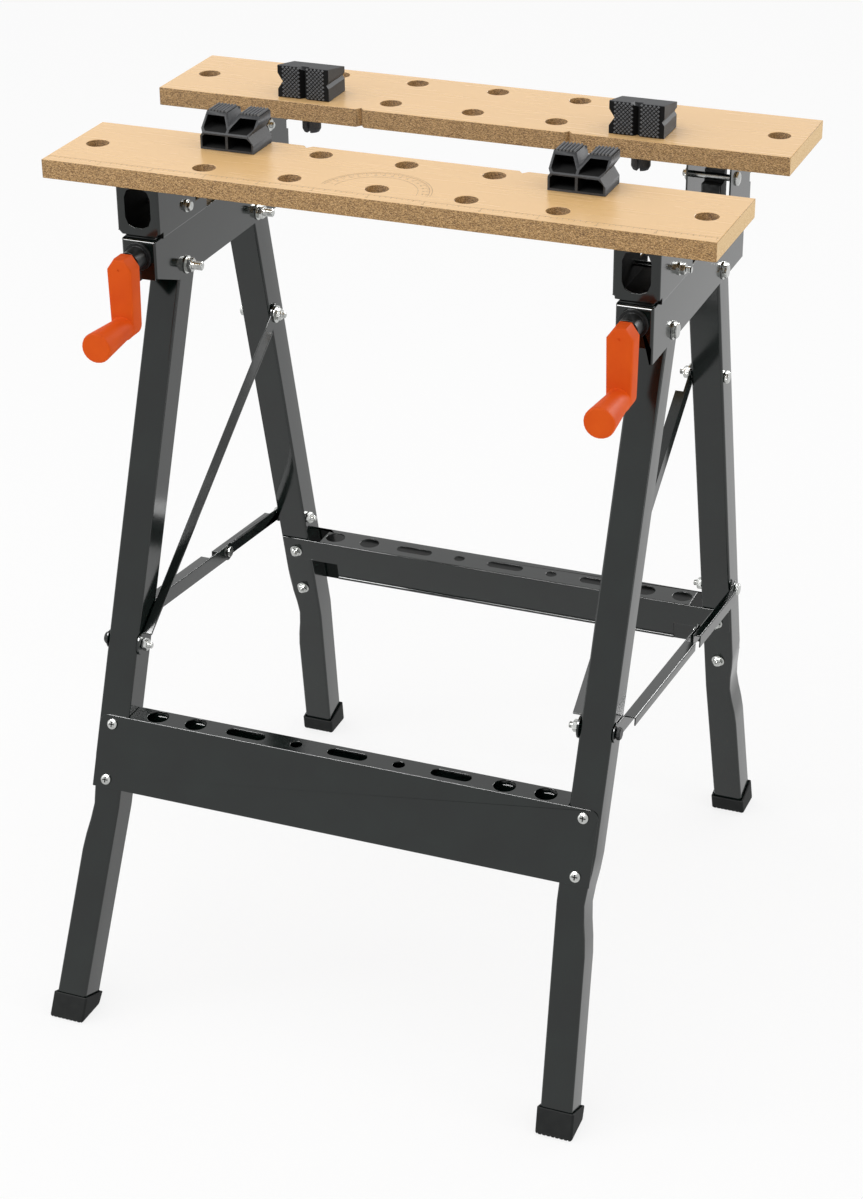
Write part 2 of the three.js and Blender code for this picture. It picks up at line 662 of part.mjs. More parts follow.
// A tray in its legs' frame. Its outer plate lies on the legs' outward faces and its flange is level when
// the bench stands. The front tray's inner plate hangs between the legs, the rear tray's lies on the legs'
// front faces. out is -1 for the front tray and 1 for the rear one.
function traySection(leg, out, drop) {
  const outerFace = out < 0 ? FACE_FRONT : FACE_BACK;
  const y = [outerFace + out * (GAP + TRAY_SHEET), outerFace + out * GAP];
  const hanging = y[0] + FRONT_TRAY_DEPTH * Math.cos(radians(leg.turn)) - TRAY_SHEET;
  const inner = out < 0 ? hanging : FACE_FRONT - GAP;
  y.push(inner, inner - out * TRAY_SHEET);
  const rise = -Math.tan(radians(leg.turn));
  const sheet = TRAY_SHEET / Math.cos(radians(leg.turn));
  const top = (depth) => -drop + (depth - y[0]) * rise;
  return { y, top, sheet, level: radians(leg.turn) };
}

function makeTray(leg, out, drop) {
  const { y, top, sheet, level } = traySection(leg, out, drop);
  const half = LEG_OUTER - TRAY_END;
  const inner = top(y[3]) - TRAY_INNER;
  const outline = polygon(
    [y[0], -drop - TRAY_OUTER], [y[0], top(y[0])], [y[3], top(y[3])], [y[3], inner],
    [y[2], inner], [y[2], top(y[2]) - sheet], [y[1], top(y[1]) - sheet], [y[1], -drop - TRAY_OUTER],
  );
  const middle = (y[0] + y[3]) / 2;
  const drill = (geometry, share) =>
    geometry.rotateX(-level).translate(share * TOOL_SPREAD, middle, top(middle));
  const reach = TRAY_SHEET * 4;
  const round = (radius) => rod("z", radius, -reach, reach, [0, 0], FINE_ROUND);
  const slot = () => sweepZ(obround(0, 0, TOOL_SLOT_LENGTH, TOOL_SLOT_WIDTH), -reach, reach);
  const openings = [
    ...TOOL_HOLES.map((share) => drill(round(TOOL_HOLE_RADIUS), share)),
    ...DRIVER_HOLES.map((share) => drill(round(DRIVER_HOLE_RADIUS), share)),
    ...TOOL_SLOTS.map((share) => drill(slot(), share)),
  ];
  const inside = [Math.min(y[1], y[2]), Math.max(y[1], y[2])];
  const innerPlate = [Math.min(y[2], y[3]) - GAP / 2, Math.max(y[2], y[3]) + GAP / 2];
  const all = [-drop - 2 * TRAY_OUTER, -drop + TRAY_OUTER];
  const ends = Object.values(SIDES).flatMap((side) => {
    const outside = across(side, LEG_INNER - (out < 0 ? GAP : TRAY_SHORT), LEG_OUTER + PASS);
    const clear = out < 0 ? outside : across(side, LEG_INNER - TRAY_NOTCH, LEG_OUTER + PASS);
    const tabBottom = top(y[3]) - (out < 0 ? 0 : TRAY_TAB);
    const screwPlaces = trayScrews(drop).map((z) =>
      rod("y", SCREW_RADIUS + RUN, FACE_FRONT - reach, FACE_BACK + reach, [side * LANE, z], SMALL_ROUND),
    );
    const corner = new THREE.Shape();
    corner.moveTo(side * (half + PASS), -drop + PASS);
    corner.lineTo(side * (half - TRAY_CORNER), -drop + PASS);
    corner.lineTo(side * (half - TRAY_CORNER), -drop);
    corner.absarc(side * (half - TRAY_CORNER), -drop - TRAY_CORNER, TRAY_CORNER, Math.PI / 2,
      side > 0 ? 0 : Math.PI, side > 0);
    corner.lineTo(side * (half + PASS), -drop - TRAY_CORNER);
    const plate = [Math.min(y[0], y[1]) - GAP / 2, Math.max(y[0], y[1]) + GAP / 2];
    return [
      box(outside, inside, all),
      box(clear, innerPlate, [all[0], tabBottom + (out < 0 ? PASS : 0)]),
      sweepY(corner, ...plate),
      ...screwPlaces,
    ];
  });
  return cut(sweepX(outline, -half, half), ...openings, ...ends);
}

const trayScrews = (drop) => [-drop - SCREW_EDGE, -drop - TRAY_OUTER + SCREW_EDGE];

// A tray bolt: head on the outer plate, nut on the leg's far face or on the inner plate that lies there.
function makeTrayScrew(out, side, z, overPlate) {
  const sheet = GAP + TRAY_SHEET + GAP;
  const outerFace = out < 0 ? FACE_FRONT : FACE_BACK;
  const innerFace = out < 0 ? FACE_BACK : FACE_FRONT;
  const head = outerFace + out * sheet;
  const seat = innerFace - out * (overPlate ? sheet : GAP);
  const at = [side * LANE, z];
  const disc = (radius, a, b, facets) => rod("y", radius, Math.min(a, b), Math.max(a, b), at, facets);
  const tip = seat - out * (SCREW_NUT_THICKNESS + SCREW_TIP);
  return join(
    disc(SCREW_HEAD, head, head + out * SCREW_HEAD_THICKNESS, SMALL_ROUND),
    disc(SCREW_RADIUS, head + out * SCREW_HEAD_THICKNESS, tip, SMALL_ROUND),
    disc(SCREW_NUT, seat, seat - out * SCREW_NUT_THICKNESS, HEX),
  );
}

// Linkage, each link in a frame at its first pin with Y along it

function makeBrace(side, length) {
  const outer = LEG_INNER - LINK_PLAY;
  const inner = outer - BRACE_SHEET;
  const outline = linkOutline(length, BRACE_EYE, BRACE_EYE, BRACE_HEIGHT);
  const plate = sweepX(outline, ...across(side, inner, outer));
  const flange = box(
    across(side, inner - BRACE_FLANGE, inner + BRACE_SHEET / 2),
    [BRACE_FLANGE_START, length - BRACE_FLANGE_END],
    [BRACE_HEIGHT / 2 - BRACE_SHEET, BRACE_HEIGHT / 2],
  );
  const [from, to] = across(side, inner - PASS, outer + PASS);
  return cut(
    join(plate, flange),
    rod("x", BOLT_RADIUS + RUN, from, to, [0, 0], SMALL_ROUND),
    rod("x", BRACE_OPEN_HOLE, from, to, [length, 0], ROUND),
  );
}

function makeFrontStay(side) {
  const inner = LEG_OUTER + LINK_PLAY;
  const outer = inner + STAY_SHEET;
  const edge = inner + STAY_WIDTH;
  const length = STAY_FRONT_LENGTH;
  const top = STAY_HEIGHT / 2;
  const along = [STAY_FLAT, length - STAY_BARE];
  const body = join(
    sweepX(linkOutline(length, STAY_EYE, STAY_EYE, STAY_HEIGHT), ...across(side, inner, outer)),
    box(across(side, outer - STAY_SHEET / 2, edge), along, [top - STAY_SHEET, top]),
    box(across(side, edge - STAY_SHEET, edge), along, [top - STAY_LIP, top - STAY_SHEET / 2]),
  );
  const [from, to] = across(side, inner - PASS, outer + PASS);
  return cut(
    body,
    rod("x", BOLT_RADIUS + RUN, from, to, [0, 0], SMALL_ROUND),
    rod("x", RIVET_RADIUS + RUN, from, to, [length, 0], SMALL_ROUND),
  );
}

const REAR_STAY_INNER = LEG_OUTER + LINK_PLAY + STAY_SHEET + GAP;

function makeRearStay(side, length) {
  const inner = REAR_STAY_INNER;
  const outer = inner + REAR_STAY_WIDTH;
  const half = REAR_STAY_HEIGHT / 2;
  const along = [STAY_FLAT, length + STAY_TAIL];
  const eye = linkOutline(STAY_FLAT * 2, STAY_EYE, half, REAR_STAY_HEIGHT);
  const body = join(
    sweepX(eye, ...across(side, inner, inner + STAY_SHEET)),
    box(across(side, inner, outer), along, [-half, half]),
  );
  const groove = box(
    across(side, inner + STAY_SHEET, outer - STAY_SHEET),
    [along[0] - PASS, along[1] + PASS],
    [STAY_SHEET - half, half + PASS],
  );
  const [from, to] = across(side, inner - PASS, inner + STAY_SHEET + PASS);
  return cut(body, groove, rod("x", BOLT_RADIUS + RUN, from, to, [0, 0], SMALL_ROUND));
}

function makeRivet(side) {
  const web = LEG_OUTER + LINK_PLAY;
  return stackX(side, [STAY_FRONT_LENGTH, 0], [
    [web - GAP - RIVET_HEAD_THICKNESS, web - GAP, RIVET_HEAD, SMALL_ROUND],
    [web - GAP - RIVET_HEAD_THICKNESS, web + STAY_SHEET, RIVET_RADIUS, SMALL_ROUND],
  ]);
}

// Bolts across a leg: stacks of washers, heads and nuts on one shank

function makePivotBolt(side) {
  const inner = LANE - RAIL_HALF - GAP;
  const outer = LANE + RAIL_HALF + GAP;
  return stackX(side, [0, 0], [
    [inner - PIVOT_NUT, inner, PIVOT_HEX, HEX],
    [inner - PIVOT_NUT - PIVOT_TIP, outer + PIVOT_HEAD, PIVOT_RADIUS, SMALL_ROUND],
    [outer, outer + PIVOT_HEAD, PIVOT_HEX, HEX],
  ]);
}

// inner and outer are the faces that the nut and the head sit on; washer is true for one under the nut.
function makeLegBolt(side, inner, outer, washer, spacer) {
  const seat = washer ? inner - WASHER_THICKNESS : inner;
  const discs = [
    [seat - BOLT_NUT, seat, BOLT_HEX, HEX],
    [seat - BOLT_NUT - BOLT_TIP, outer + BOLT_HEAD, BOLT_RADIUS, SMALL_ROUND],
    [outer, outer + BOLT_HEAD, BOLT_HEX, HEX],
  ];
  if (washer) discs.push([seat, inner, WASHER_RADIUS, ROUND]);
  if (spacer) discs.push([...spacer, BOLT_HEX, SMALL_ROUND]);
  return stackX(side, [0, 0], discs);
}

// Dogs: a moulded block on a split peg. grip is the side of the gripping face, 1 for the back.

function makeDog(x, y, grip) {
  const bottom = BOARD_TOP + GAP;
  const top = bottom + DOG_HEIGHT;
  const half = DOG_WIDTH / 2;
  const middle = (bottom + top) / 2;
  const face = y + grip * DOG_REACH;
  const rear = face - grip * DOG_DEPTH;
  const sorted = (a, b) => [Math.min(a, b), Math.max(a, b)];
  const outline = polygon(
    [face, bottom], [face, top], [rear + grip * DOG_SLOPE, top], [rear, middle], [rear, bottom],
  );
  const body = join(
    sweepX(outline, x - half, x + half),
    rod("z", HOLE_RADIUS - RUN, BOARD_TOP - PEG_LENGTH, bottom + PASS, [x, y]),
  );
  const cellWidth = (DOG_WIDTH - 3 * DOG_WALL) / 2;
  const cellHeight = (DOG_HEIGHT - 3 * DOG_WALL) / 2;
  const cells = [0, 1].flatMap((column) =>
    [0, 1].map((row) => {
      const left = x - half + DOG_WALL + column * (cellWidth + DOG_WALL);
      const low = bottom + DOG_WALL + row * (cellHeight + DOG_WALL);
      const inset = DOG_GROOVE;
      const outerEdge = column === 0 ? left + inset : left;
      const width = cellWidth - inset;
      const floor = rear + grip * (DOG_CELL_DEPTH + row * DOG_SLOPE / 2);
      const deep = sorted(rear - grip * PASS, floor);
      return box([outerEdge, outerEdge + width], deep, [low, low + cellHeight]);
    }),
  );
  const sideGrooves = [-1, 1].map((hand) => {
    const edge = x + hand * half;
    const [depth, flank] = hand === grip ? [DOG_GROOVE, DOG_FLANK] : [DOG_NOTCH, DOG_NOTCH_FLANK];
    return sweepY(
      polygon(
        [edge + hand * depth, middle - 2 * flank],
        [edge + hand * depth, middle + 2 * flank],
        [edge - hand * depth, middle],
      ),
      ...sorted(face + grip * PASS, rear - grip * PASS),
    );
  });
  const valley = sweepY(
    polygon(
      [x - 2 * DOG_VALLEY_HALF, top + DOG_VALLEY], [x, top - DOG_VALLEY], [x + 2 * DOG_VALLEY_HALF, top + DOG_VALLEY],
    ),
    ...sorted(face + grip * PASS, rear - grip * PASS),
  );
  const faceGroove = sweepZ(
    polygon(
      [x - 2 * DOG_GROOVE, face + grip * DOG_GROOVE], [x + 2 * DOG_GROOVE, face + grip * DOG_GROOVE],
      [x, face - grip * DOG_GROOVE],
    ),
    bottom - GAP / 2, top + PASS,
  );
  const slit = box(
    [x - PEG_SLIT / 2, x + PEG_SLIT / 2], [y - 2 * HOLE_RADIUS, y + 2 * HOLE_RADIUS],
    [BOARD_TOP - PEG_LENGTH - PASS, BOARD_TOP - BOARD_THICKNESS / 2],
  );
  return cut(body, ...cells, ...sideGrooves, valley, faceGroove, slit);
}

// Assembly

const bench = new THREE.Group();

function frame(y, z, turn = 0) {
  const group = new THREE.Group();
  group.position.set(0, y, z);
  group.rotation.x = turn;
  bench.add(group);
  return group;
}

const angleBetween = (from, to) => Math.atan2(to.y - from.y, to.x - from.x);

function addTop() {
  bench.add(piece("front_board", makeBoard(FRONT_BOARD, 1), WOOD));
  bench.add(piece("rear_board", makeBoard(REAR_BOARD, -1), WOOD));
  const frontDogs = FRONT_BOARD + BOARD_WIDTH / 2 + BACK_ROW;
  const rearDogs = REAR_BOARD + BOARD_WIDTH / 2 - FRONT_ROW;
  for (const [name, side] of Object.entries(SIDES)) {
    const column = side * middleColumn * HOLE_PITCH;
    bench.add(
      piece(`rail_${name}`, makeRail(side), PAINT),
      piece(`front_bracket_${name}`, makeFrontBracket(side), PAINT),
      piece(`rear_bracket_${name}`, makeRearBracket(side), PAINT),
      piece(`jaw_pin_${name}`, makePin(side), ZINC),
      piece(`jaw_nut_${name}`, makeNut(side), BLACK_STEEL),
      piece(`spindle_${name}`, makeSpindle(side), ZINC),
      piece(`spindle_bush_${name}`, makeBush(side), BLACK_STEEL),
      piece(`crank_${name}`, makeCrank(side), ORANGE),
      piece(`front_dog_${name}`, makeDog(column, frontDogs, 1), PLASTIC),
      piece(`rear_dog_${name}`, makeDog(column, rearDogs, -1), PLASTIC),
    );
    for (const [pair, y] of [["front", FRONT_PIVOT], ["rear", REAR_PIVOT]]) {
      frame(y, PIVOT_HEIGHT).add(piece(`${pair}_pivot_bolt_${name}`, makePivotBolt(side), ZINC));
    }
  }
}

function addLegs() {
  const pairs = [
    ["front", -1, FRONT_TRAY_DROP, [BRACE_FRONT_DROP]],
    ["rear", 1, REAR_TRAY_DROP, [BRACE_REAR_DROP, STAY_REAR_DROP]],
  ];
  for (const [pair, out, drop, bolts] of pairs) {
    const leg = LEGS[pair];
    const group = frame(leg.pivot, PIVOT_HEIGHT, radians(leg.turn));
    group.add(piece(`${pair}_tray`, makeTray(leg, out, drop), PAINT));
    for (const [name, side] of Object.entries(SIDES)) {
      group.add(piece(`${pair}_leg_${name}`, makeLeg(leg, side, bolts, trayScrews(drop)), PAINT));
      group.add(piece(`${pair}_boot_${name}`, makeBoot(leg, side), RUBBER));
      trayScrews(drop).forEach((z, i) => {
        const place = ["upper", "lower"][i];
        const screw = makeTrayScrew(out, side, z, out > 0 && i === 0);
        group.add(piece(`${pair}_tray_bolt_${place}_${name}`, screw, ZINC));
      });
    }
  }
}

function addLinkage() {
  const braceLength = STAY_FRONT_PIN.distanceTo(BRACE_PIN);
  const rearStayLength = STAY_FRONT_PIN.distanceTo(STAY_REAR_PIN) - STAY_FRONT_LENGTH;
  const braceFace = LEG_INNER - LINK_PLAY - BRACE_SHEET - GAP;
  const frontStayFace = LEG_OUTER + LINK_PLAY + STAY_SHEET + GAP;
  const rearStayFace = REAR_STAY_INNER + STAY_SHEET + GAP;
  const spacer = [LEG_OUTER + GAP, REAR_STAY_INNER - GAP];
  const stayAngle = angleBetween(STAY_FRONT_PIN, STAY_REAR_PIN);
  const at = (pin, turn) => frame(pin.x, pin.y, turn);
  for (const [name, side] of Object.entries(SIDES)) {
    at(STAY_FRONT_PIN, angleBetween(STAY_FRONT_PIN, BRACE_PIN)).add(
      piece(`brace_${name}`, makeBrace(side, braceLength), PAINT),
    );
    at(STAY_FRONT_PIN, stayAngle).add(
      piece(`stay_front_${name}`, makeFrontStay(side), PAINT),
      piece(`elbow_rivet_${name}`, makeRivet(side), ZINC),
    );
    at(STAY_REAR_PIN, stayAngle + Math.PI).add(
      piece(`stay_rear_${name}`, makeRearStay(side, rearStayLength), PAINT),
    );
    const frontBolt = makeLegBolt(side, braceFace, frontStayFace, false);
    const braceBolt = makeLegBolt(side, braceFace, LEG_OUTER + GAP, true);
    const rearBolt = makeLegBolt(side, LEG_INNER - GAP, rearStayFace, false, spacer);
    at(STAY_FRONT_PIN).add(piece(`stay_bolt_front_${name}`, frontBolt, ZINC));
    at(BRACE_PIN).add(piece(`brace_bolt_${name}`, braceBolt, ZINC));
    at(STAY_REAR_PIN).add(piece(`stay_bolt_rear_${name}`, rearBolt, ZINC));
  }
}

addTop();
addLegs();
addLinkage();

// The origin is on the floor, under the middle of the feet.
function footReach(leg, y) {
  const z = soleAt(leg, y);
  const angle = radians(leg.turn);
  return leg.pivot + (y - belowBend(leg, z) * leg.toe) * Math.cos(angle) - z * Math.sin(angle);
}
const footFront = footReach(LEGS.front, bootSize(LEGS.front).front);
const footBack = footReach(LEGS.rear, bootSize(LEGS.rear).heel);
for (const child of bench.children) child.position.y -= (footFront + footBack) / 2;

export default bench;
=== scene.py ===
"""Looks of a folding clamping workbench: sealed composite boards on a frame of black enamelled steel."""
import json
import math
from collections import namedtuple

import bmesh
import bpy
from mathutils import Matrix, Vector
from mathutils.geometry import tessellate_polygon

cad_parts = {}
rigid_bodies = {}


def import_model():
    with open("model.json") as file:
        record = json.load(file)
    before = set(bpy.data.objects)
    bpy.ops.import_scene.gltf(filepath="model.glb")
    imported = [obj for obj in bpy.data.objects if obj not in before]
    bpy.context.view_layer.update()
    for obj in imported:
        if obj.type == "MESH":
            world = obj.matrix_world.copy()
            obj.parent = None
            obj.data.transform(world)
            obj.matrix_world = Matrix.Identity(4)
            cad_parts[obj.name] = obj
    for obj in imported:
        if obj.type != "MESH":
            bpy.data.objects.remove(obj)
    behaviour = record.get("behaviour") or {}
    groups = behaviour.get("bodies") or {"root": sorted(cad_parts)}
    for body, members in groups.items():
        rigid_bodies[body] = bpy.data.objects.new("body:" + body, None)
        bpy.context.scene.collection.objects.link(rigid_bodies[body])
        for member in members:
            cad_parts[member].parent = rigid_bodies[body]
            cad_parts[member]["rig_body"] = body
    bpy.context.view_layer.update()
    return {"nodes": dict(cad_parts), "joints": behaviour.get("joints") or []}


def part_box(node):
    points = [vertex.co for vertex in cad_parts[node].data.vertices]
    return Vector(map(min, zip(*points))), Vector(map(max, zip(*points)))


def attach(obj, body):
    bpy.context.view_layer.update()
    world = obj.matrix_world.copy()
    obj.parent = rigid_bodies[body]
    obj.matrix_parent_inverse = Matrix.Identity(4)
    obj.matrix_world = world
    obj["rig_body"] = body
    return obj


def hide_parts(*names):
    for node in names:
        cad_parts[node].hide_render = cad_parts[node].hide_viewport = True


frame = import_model()
nodes = frame["nodes"]
joints = {joint["name"]: joint for joint in frame["joints"]}

MM = 0.001

# Sides of the bench along X, and each board's gripping edge along Y
SIDES = {"left": -1, "right": 1}
GRIPS = {"front": 1, "rear": -1}

# Directions of building
FORWARD = (0, -1, 0)
TO_METRES = Matrix.Scale(MM, 4)
UPRIGHT = Matrix.Rotation(math.pi / 2, 4, "X")
ALONG_X = Matrix(((0, 0, 1, 0), (1, 0, 0, 0), (0, 1, 0, 0), (0, 0, 0, 1)))

# Camera, from the lines of the photographed boards and feet
VIEW_AZIMUTH = 21.77
VIEW_ELEVATION = 27.55
VIEW_ROLL = -0.51
VIEW_DISTANCE = 2511.1 * MM
VIEW_TARGET = Vector((6.3, 7.6, 336.0)) * MM
FOCAL_PIXELS = 2671.2
PICTURE_HEIGHT = 1199
SENSOR = 36

# Light: an even sky, and strips by place and size in metres, brightness against white, and whether they light.
# The edge strips do not, and show only as reflections along folded edges and on bright metal.
SKY = 0.8
LAMPS = (
    ("overhead_strip", (-0.5, -0.4, 2.6), (2.6, 0.45), 2.2, True),
    ("right_strip", (2.4, -0.2, 0.9), (0.4, 1.6), 3.0, True),
    ("left_strip", (-2.3, -1.4, 1.1), (0.4, 1.6), 3.0, True),
    ("front_edge_strip", (-1.0, -1.4, 2.7), (2.4, 1.0), 36, False),
    ("back_edge_strip", (1.5, 2.7, 1.7), (2.4, 0.6), 24, False),
)
PAPER_GLOW = 0.8
PAPER_WHITE = 0.93
FLOOR_HALF = 12
FLOOR_DROP = 0.5 * MM

# Lean of the legs, in degrees, feet forward and feet back
LEAN = {"front": -21.6, "rear": 14.4}

# Angles past which an edge is shaded sharp
SHADE = {"sheet": 38, "turned": 30, "board": 50, "crank": 40, "spindle": 50, "dog": 25}

# Edge of pieces that are not rounded, and how far long, short and small tools stand clear of what they cut
SHARP = 0.01
CLEAR = 5
SHORT_CLEAR = 3
SMALL_CLEAR = 1
ROUND_STEPS = 24

# Boards
HOLE_RADIUS = 10 * MM
HOLE_STEPS = 48
HOLE_COLUMNS = (-160, -80, 0, 80, 160)
HOLE_ROWS = (-29 * MM, 37.5 * MM)
END_HOLE_INSET = 25 * MM
NOTCH_PLACES = (-100, 100)
NOTCH_HALF_WIDTH = 4 * MM
NOTCH_DEPTH = 5 * MM
BOARD_EDGE = 0.6 * MM

# Sheet metal and tube
WELD = 0.002 * MM
FLAT_ANGLE = 0.5
FOLD_ANGLE = 25
RIM = 0.3 * MM
TRAY_RIM = 0.45 * MM
FOLD_CORNER = 1.2 * MM
TUBE_CORNER = 2.4 * MM
RAIL_FOLD = 2.6 * MM
BRACKET_FOLD = 2 * MM
BRACKET_SKIN = 0.8 * MM
WIDE_FACE = 4 * MM
SHORT_EDGE = 8 * MM
NEAR = 0.1 * MM

# Boots and the grooves of their soles
BOOT_RIM = 0.8 * MM
BOOT_FOLD = 2.4 * MM
SOLE_PITCH = 4
SOLE_GROOVE = 1.2
SOLE_GROOVE_TOP = 0.48
SOLE_DEPTH = 1.6
SOLE_CLEAR = 2

# Fasteners
Fastener = namedtuple("Fastener", "radius across nut tip head")
PIVOT = Fastener(4, 6.8, 6.5, 9, 4.5)
BOLT = Fastener(3, 5.8, 5, 4, 4)
JAW_PIN = Fastener(3, 6.4, 5.2, 3, 3)
SCREW = Fastener(2.5, 5, 4.5, 3, 2.6)
PIVOT_PROUD = 2
PIVOT_FLANGE = 8.2
PIN_REACH = 5
SCREW_FLANGE = 6.4
BRACE_WASHER = 8.5
WASHER_THICKNESS = 1.4
NUT_FLANGE = 0.9
NUT_NECK = 1.2
NECK_SHARE = 0.9
HEAD_FLANGE = 1
CHAMFER = 0.7
CHAMFER_SHARE = 0.97
THREAD_PITCH = 1.2
THREAD_DEPTH = 0.45
PAN_HEAD = 5
DOME_STEPS = 4
DOME_WALL = 0.3
DOME_FLAT = 0.25
CROSS_REACH = 2.7
CROSS_WIDTH = 0.55
CROSS_DEPTH = 1.5

# Cranks; the knob's root is given from the arm's face and past its neck, its end back and inwards
ARM_THICKNESS = 18
ARM_HALF_WIDTH = 12
ARM_TOP = 9.5
ARM_CUT = (7, 10)
ARM_FOOT = 11
FOOT_STEPS = 16
ARM_EDGE = 2.2
CRANK_REACH = 54
KNOB_NECK = 10.5
KNOB_RADIUS = 13.8
KNOB_ROOT = ((-4, -1), (0, 0.8), (3, 0))
KNOB_END = ((2.4, 0), (0.7, 0.7), (0, 2.4))
MARK_RADIUS = 1.2
MARK_DEPTH = 0.6

# Dogs, measured from the peg's axis and the board's top
DOG_HALF_WIDTH = 25.5
DOG_HEIGHT = 29.5
DOG_FACE = 17
DOG_BACK = -21
DOG_CORNER = 0.5
DOG_SIDE_GROOVES = {1: (5, 7.5), -1: (2.2, 3)}
DOG_CELL_CORNERS = {1: (4.5, 5.5), -1: (2.5, 3.5)}
DOG_CELL_FLOORS = (6, 9)
DOG_CELL_PEAK = 18.5
DOG_SLOPES = {"front": (16, 14.75), "rear": (36, 6.5)}
DOG_LIDS = {"front": 27, "rear": 20.5}
DOG_WALL = 2
DOG_RIB = 1.2
DOG_VALLEYS = {"front": (8, 50), "rear": (4, 7)}
DOG_VALLEY_HALF = 5.5
DOG_GROOVE = 5
DOG_GROOVE_HALF = 3.5
DOG_LIFT = 0.3
DOG_EASE = 0.4
EASE_ANGLE = 30
KNURL = (5, 8)
KNURL_CENTRE = 12.2
STUD_PITCH = 3.8
STUD_REACH = 0.43 * STUD_PITCH
STUD_RISE = 1.5
STUD_SINK = 0.2
RIDGES = 6
RIDGE_CENTRE = 15.4
RIDGE_PITCH = 3.1
RIDGE_HALF = 0.32 * RIDGE_PITCH
RIDGE_TOP = 0.6 * RIDGE_HALF
RIDGE_RISE = 1.5
RIDGE_SINK = 0.3
PEG_RADIUS = 8.8
PEG_DEPTH = 35
PEG_TAPER = (3, 1.6)
PEG_ROOT = (-0.2, 0.8)
SLIT_HALF = 1.5
SLIT_REACH = 20
SLIT_TOP = -9

# Print on the front board, from its front edge: a rule, and a protractor above it
INK_DEPTH = 0.03
INK_RISE = 0.05
INK_WIDTH = 0.35
TICK_LIFT = 0.2
RULE_LINE = 11.5
RULE_HALF = 300
RULE_TICKS = ((5, 2.2), (10, 3.6), (50, 5.4))
RULE_NUMBERS = 50
DIAL_CENTRE = 20.5
DIAL_RINGS = (49, 46.8, 37)
DIAL_STEPS = 60
DIAL_TICKS = ((5, 2), (10, 3.4))
DIAL_NUMBERS = 10
DIAL_START = 4
DIGIT_HEIGHT = 2.6

# Bracket fittings, by their place behind a bracket's front edge and below its top
PLATE_BOLT = (54, 40.3)
PLATE_SLOT = (72, 92, 38, 42)
BACK_NOTCH = (64, 75, 26, 35)
PLATE_CUT = 3

# Bolt of the front brackets, as (reach past the plate, radius)
PLATE_BOLT_RIM = (1.2, 5.8)
PLATE_BOLT_HEAD = (5, 4.6)
PLATE_BOLT_NUT = (6, 5)
PLATE_BOLT_TIP = (11, 2.8)
PLATE_BOLT_SHANK = 2.6

# Spindles, nuts and the rear tray's hem
SCREW_PITCH = 4
SCREW_ROOT = 1
SCREW_RIDGE = 1.3
SCREW_START = 4
SCREW_EASE = 1
NUT_MOUTH = 5
HEM_RADIUS = 1.7
HEM_EASE = 0.5
HEM_OUT = 0.2 * MM
HEM_UP = 0.8 * MM


# Node trees


def feed(tree, node, key, value):
    """Gives a node's input a value, or links it to a socket or to another node's first output."""
    if isinstance(value, bpy.types.Node):
        value = value.outputs[0]
    if isinstance(value, bpy.types.NodeSocket):
        tree.links.new(value, node.inputs[key])
    else:
        node.inputs[key].default_value = value


def add(tree, kind, inputs=None, **settings):
    """One node with its settings and its inputs."""
    node = tree.nodes.new(kind)
    for name, value in settings.items():
        setattr(node, name, value)
    for key, value in (inputs or {}).items():
        feed(tree, node, key, value)
    return node


def linear(colour):
    """An sRGB hex value as linear RGBA."""
    channels = [int(colour[i:i + 2], 16) / 255 for i in (1, 3, 5)]
    return [c / 12.92 if c <= 0.04045 else ((c + 0.055) / 1.055) ** 2.4 for c in channels] + [1]


def new_material(name, **sockets):
    made = bpy.data.materials.new(name)
    made.use_nodes = True
    tree = made.node_tree
    tree.nodes.clear()
    values = {key.replace("_", " "): value for key, value in sockets.items()}
    shader = add(tree, "ShaderNodeBsdfPrincipled", values)
    add(tree, "ShaderNodeOutputMaterial", {"Surface": shader})
    place = add(tree, "ShaderNodeTexCoord").outputs["Object"]
    return made, tree, shader, place


def per_metre(size):
    """A texture scale for features of this size in millimetres."""
    return 1 / (size * MM)


def noise(tree, place, size, detail, **more):
    """A noise factor with features of this size in millimetres."""
    inputs = {"Vector": place, "Scale": per_metre(size), "Detail": detail, **more}
    return add(tree, "ShaderNodeTexNoise", inputs)


def compute(tree, operation, *values):
    return add(tree, "ShaderNodeMath", dict(enumerate(values)), operation=operation)


def spread(tree, factor, low, high):
    """A factor turned into a range of values."""
    return add(tree, "ShaderNodeMapRange", {"Value": factor, "To Min": low, "To Max": high})


def colour_by(tree, shader, factor, *stops):
    """Colours a shader along a factor, by (place, hex) stops."""
    ramp = add(tree, "ShaderNodeValToRGB", {"Fac": factor})
    elements = ramp.color_ramp.elements
    while len(elements) < len(stops):
        elements.new(0.5)
    for element, (where, colour) in zip(elements, stops):
        element.position = where
        element.color = linear(colour)
    feed(tree, shader, "Base Color", ramp)


def roughen(tree, shader, factor, low, high):
    feed(tree, shader, "Roughness", spread(tree, factor, low, high))


def raise_bumps(tree, shader, height, depth, strength):
    bump = add(tree, "ShaderNodeBump", {"Height": height, "Distance": depth * MM, "Strength": strength})
    feed(tree, shader, "Normal", bump)


def mottled(name, patches, stops, rough, bumps=None, **sockets):
    """A material by a noise of (size, detail), with bumps of (size, detail, depth, strength)."""
    made, tree, shader, place = new_material(name, **sockets)
    factor = noise(tree, place, *patches)
    colour_by(tree, shader, factor, *stops)
    roughen(tree, shader, factor, *rough)
    if bumps:
        raise_bumps(tree, shader, noise(tree, place, *bumps[:2]), *bumps[2:])
    return made


def make_zinc(name, dark, light, rough):
    """Bright metal with faint blotches from the plating bath."""
    return mottled(name, (4, 4), ((0.3, dark), (0.8, light)), (rough, rough + 0.16), Metallic=1.0)


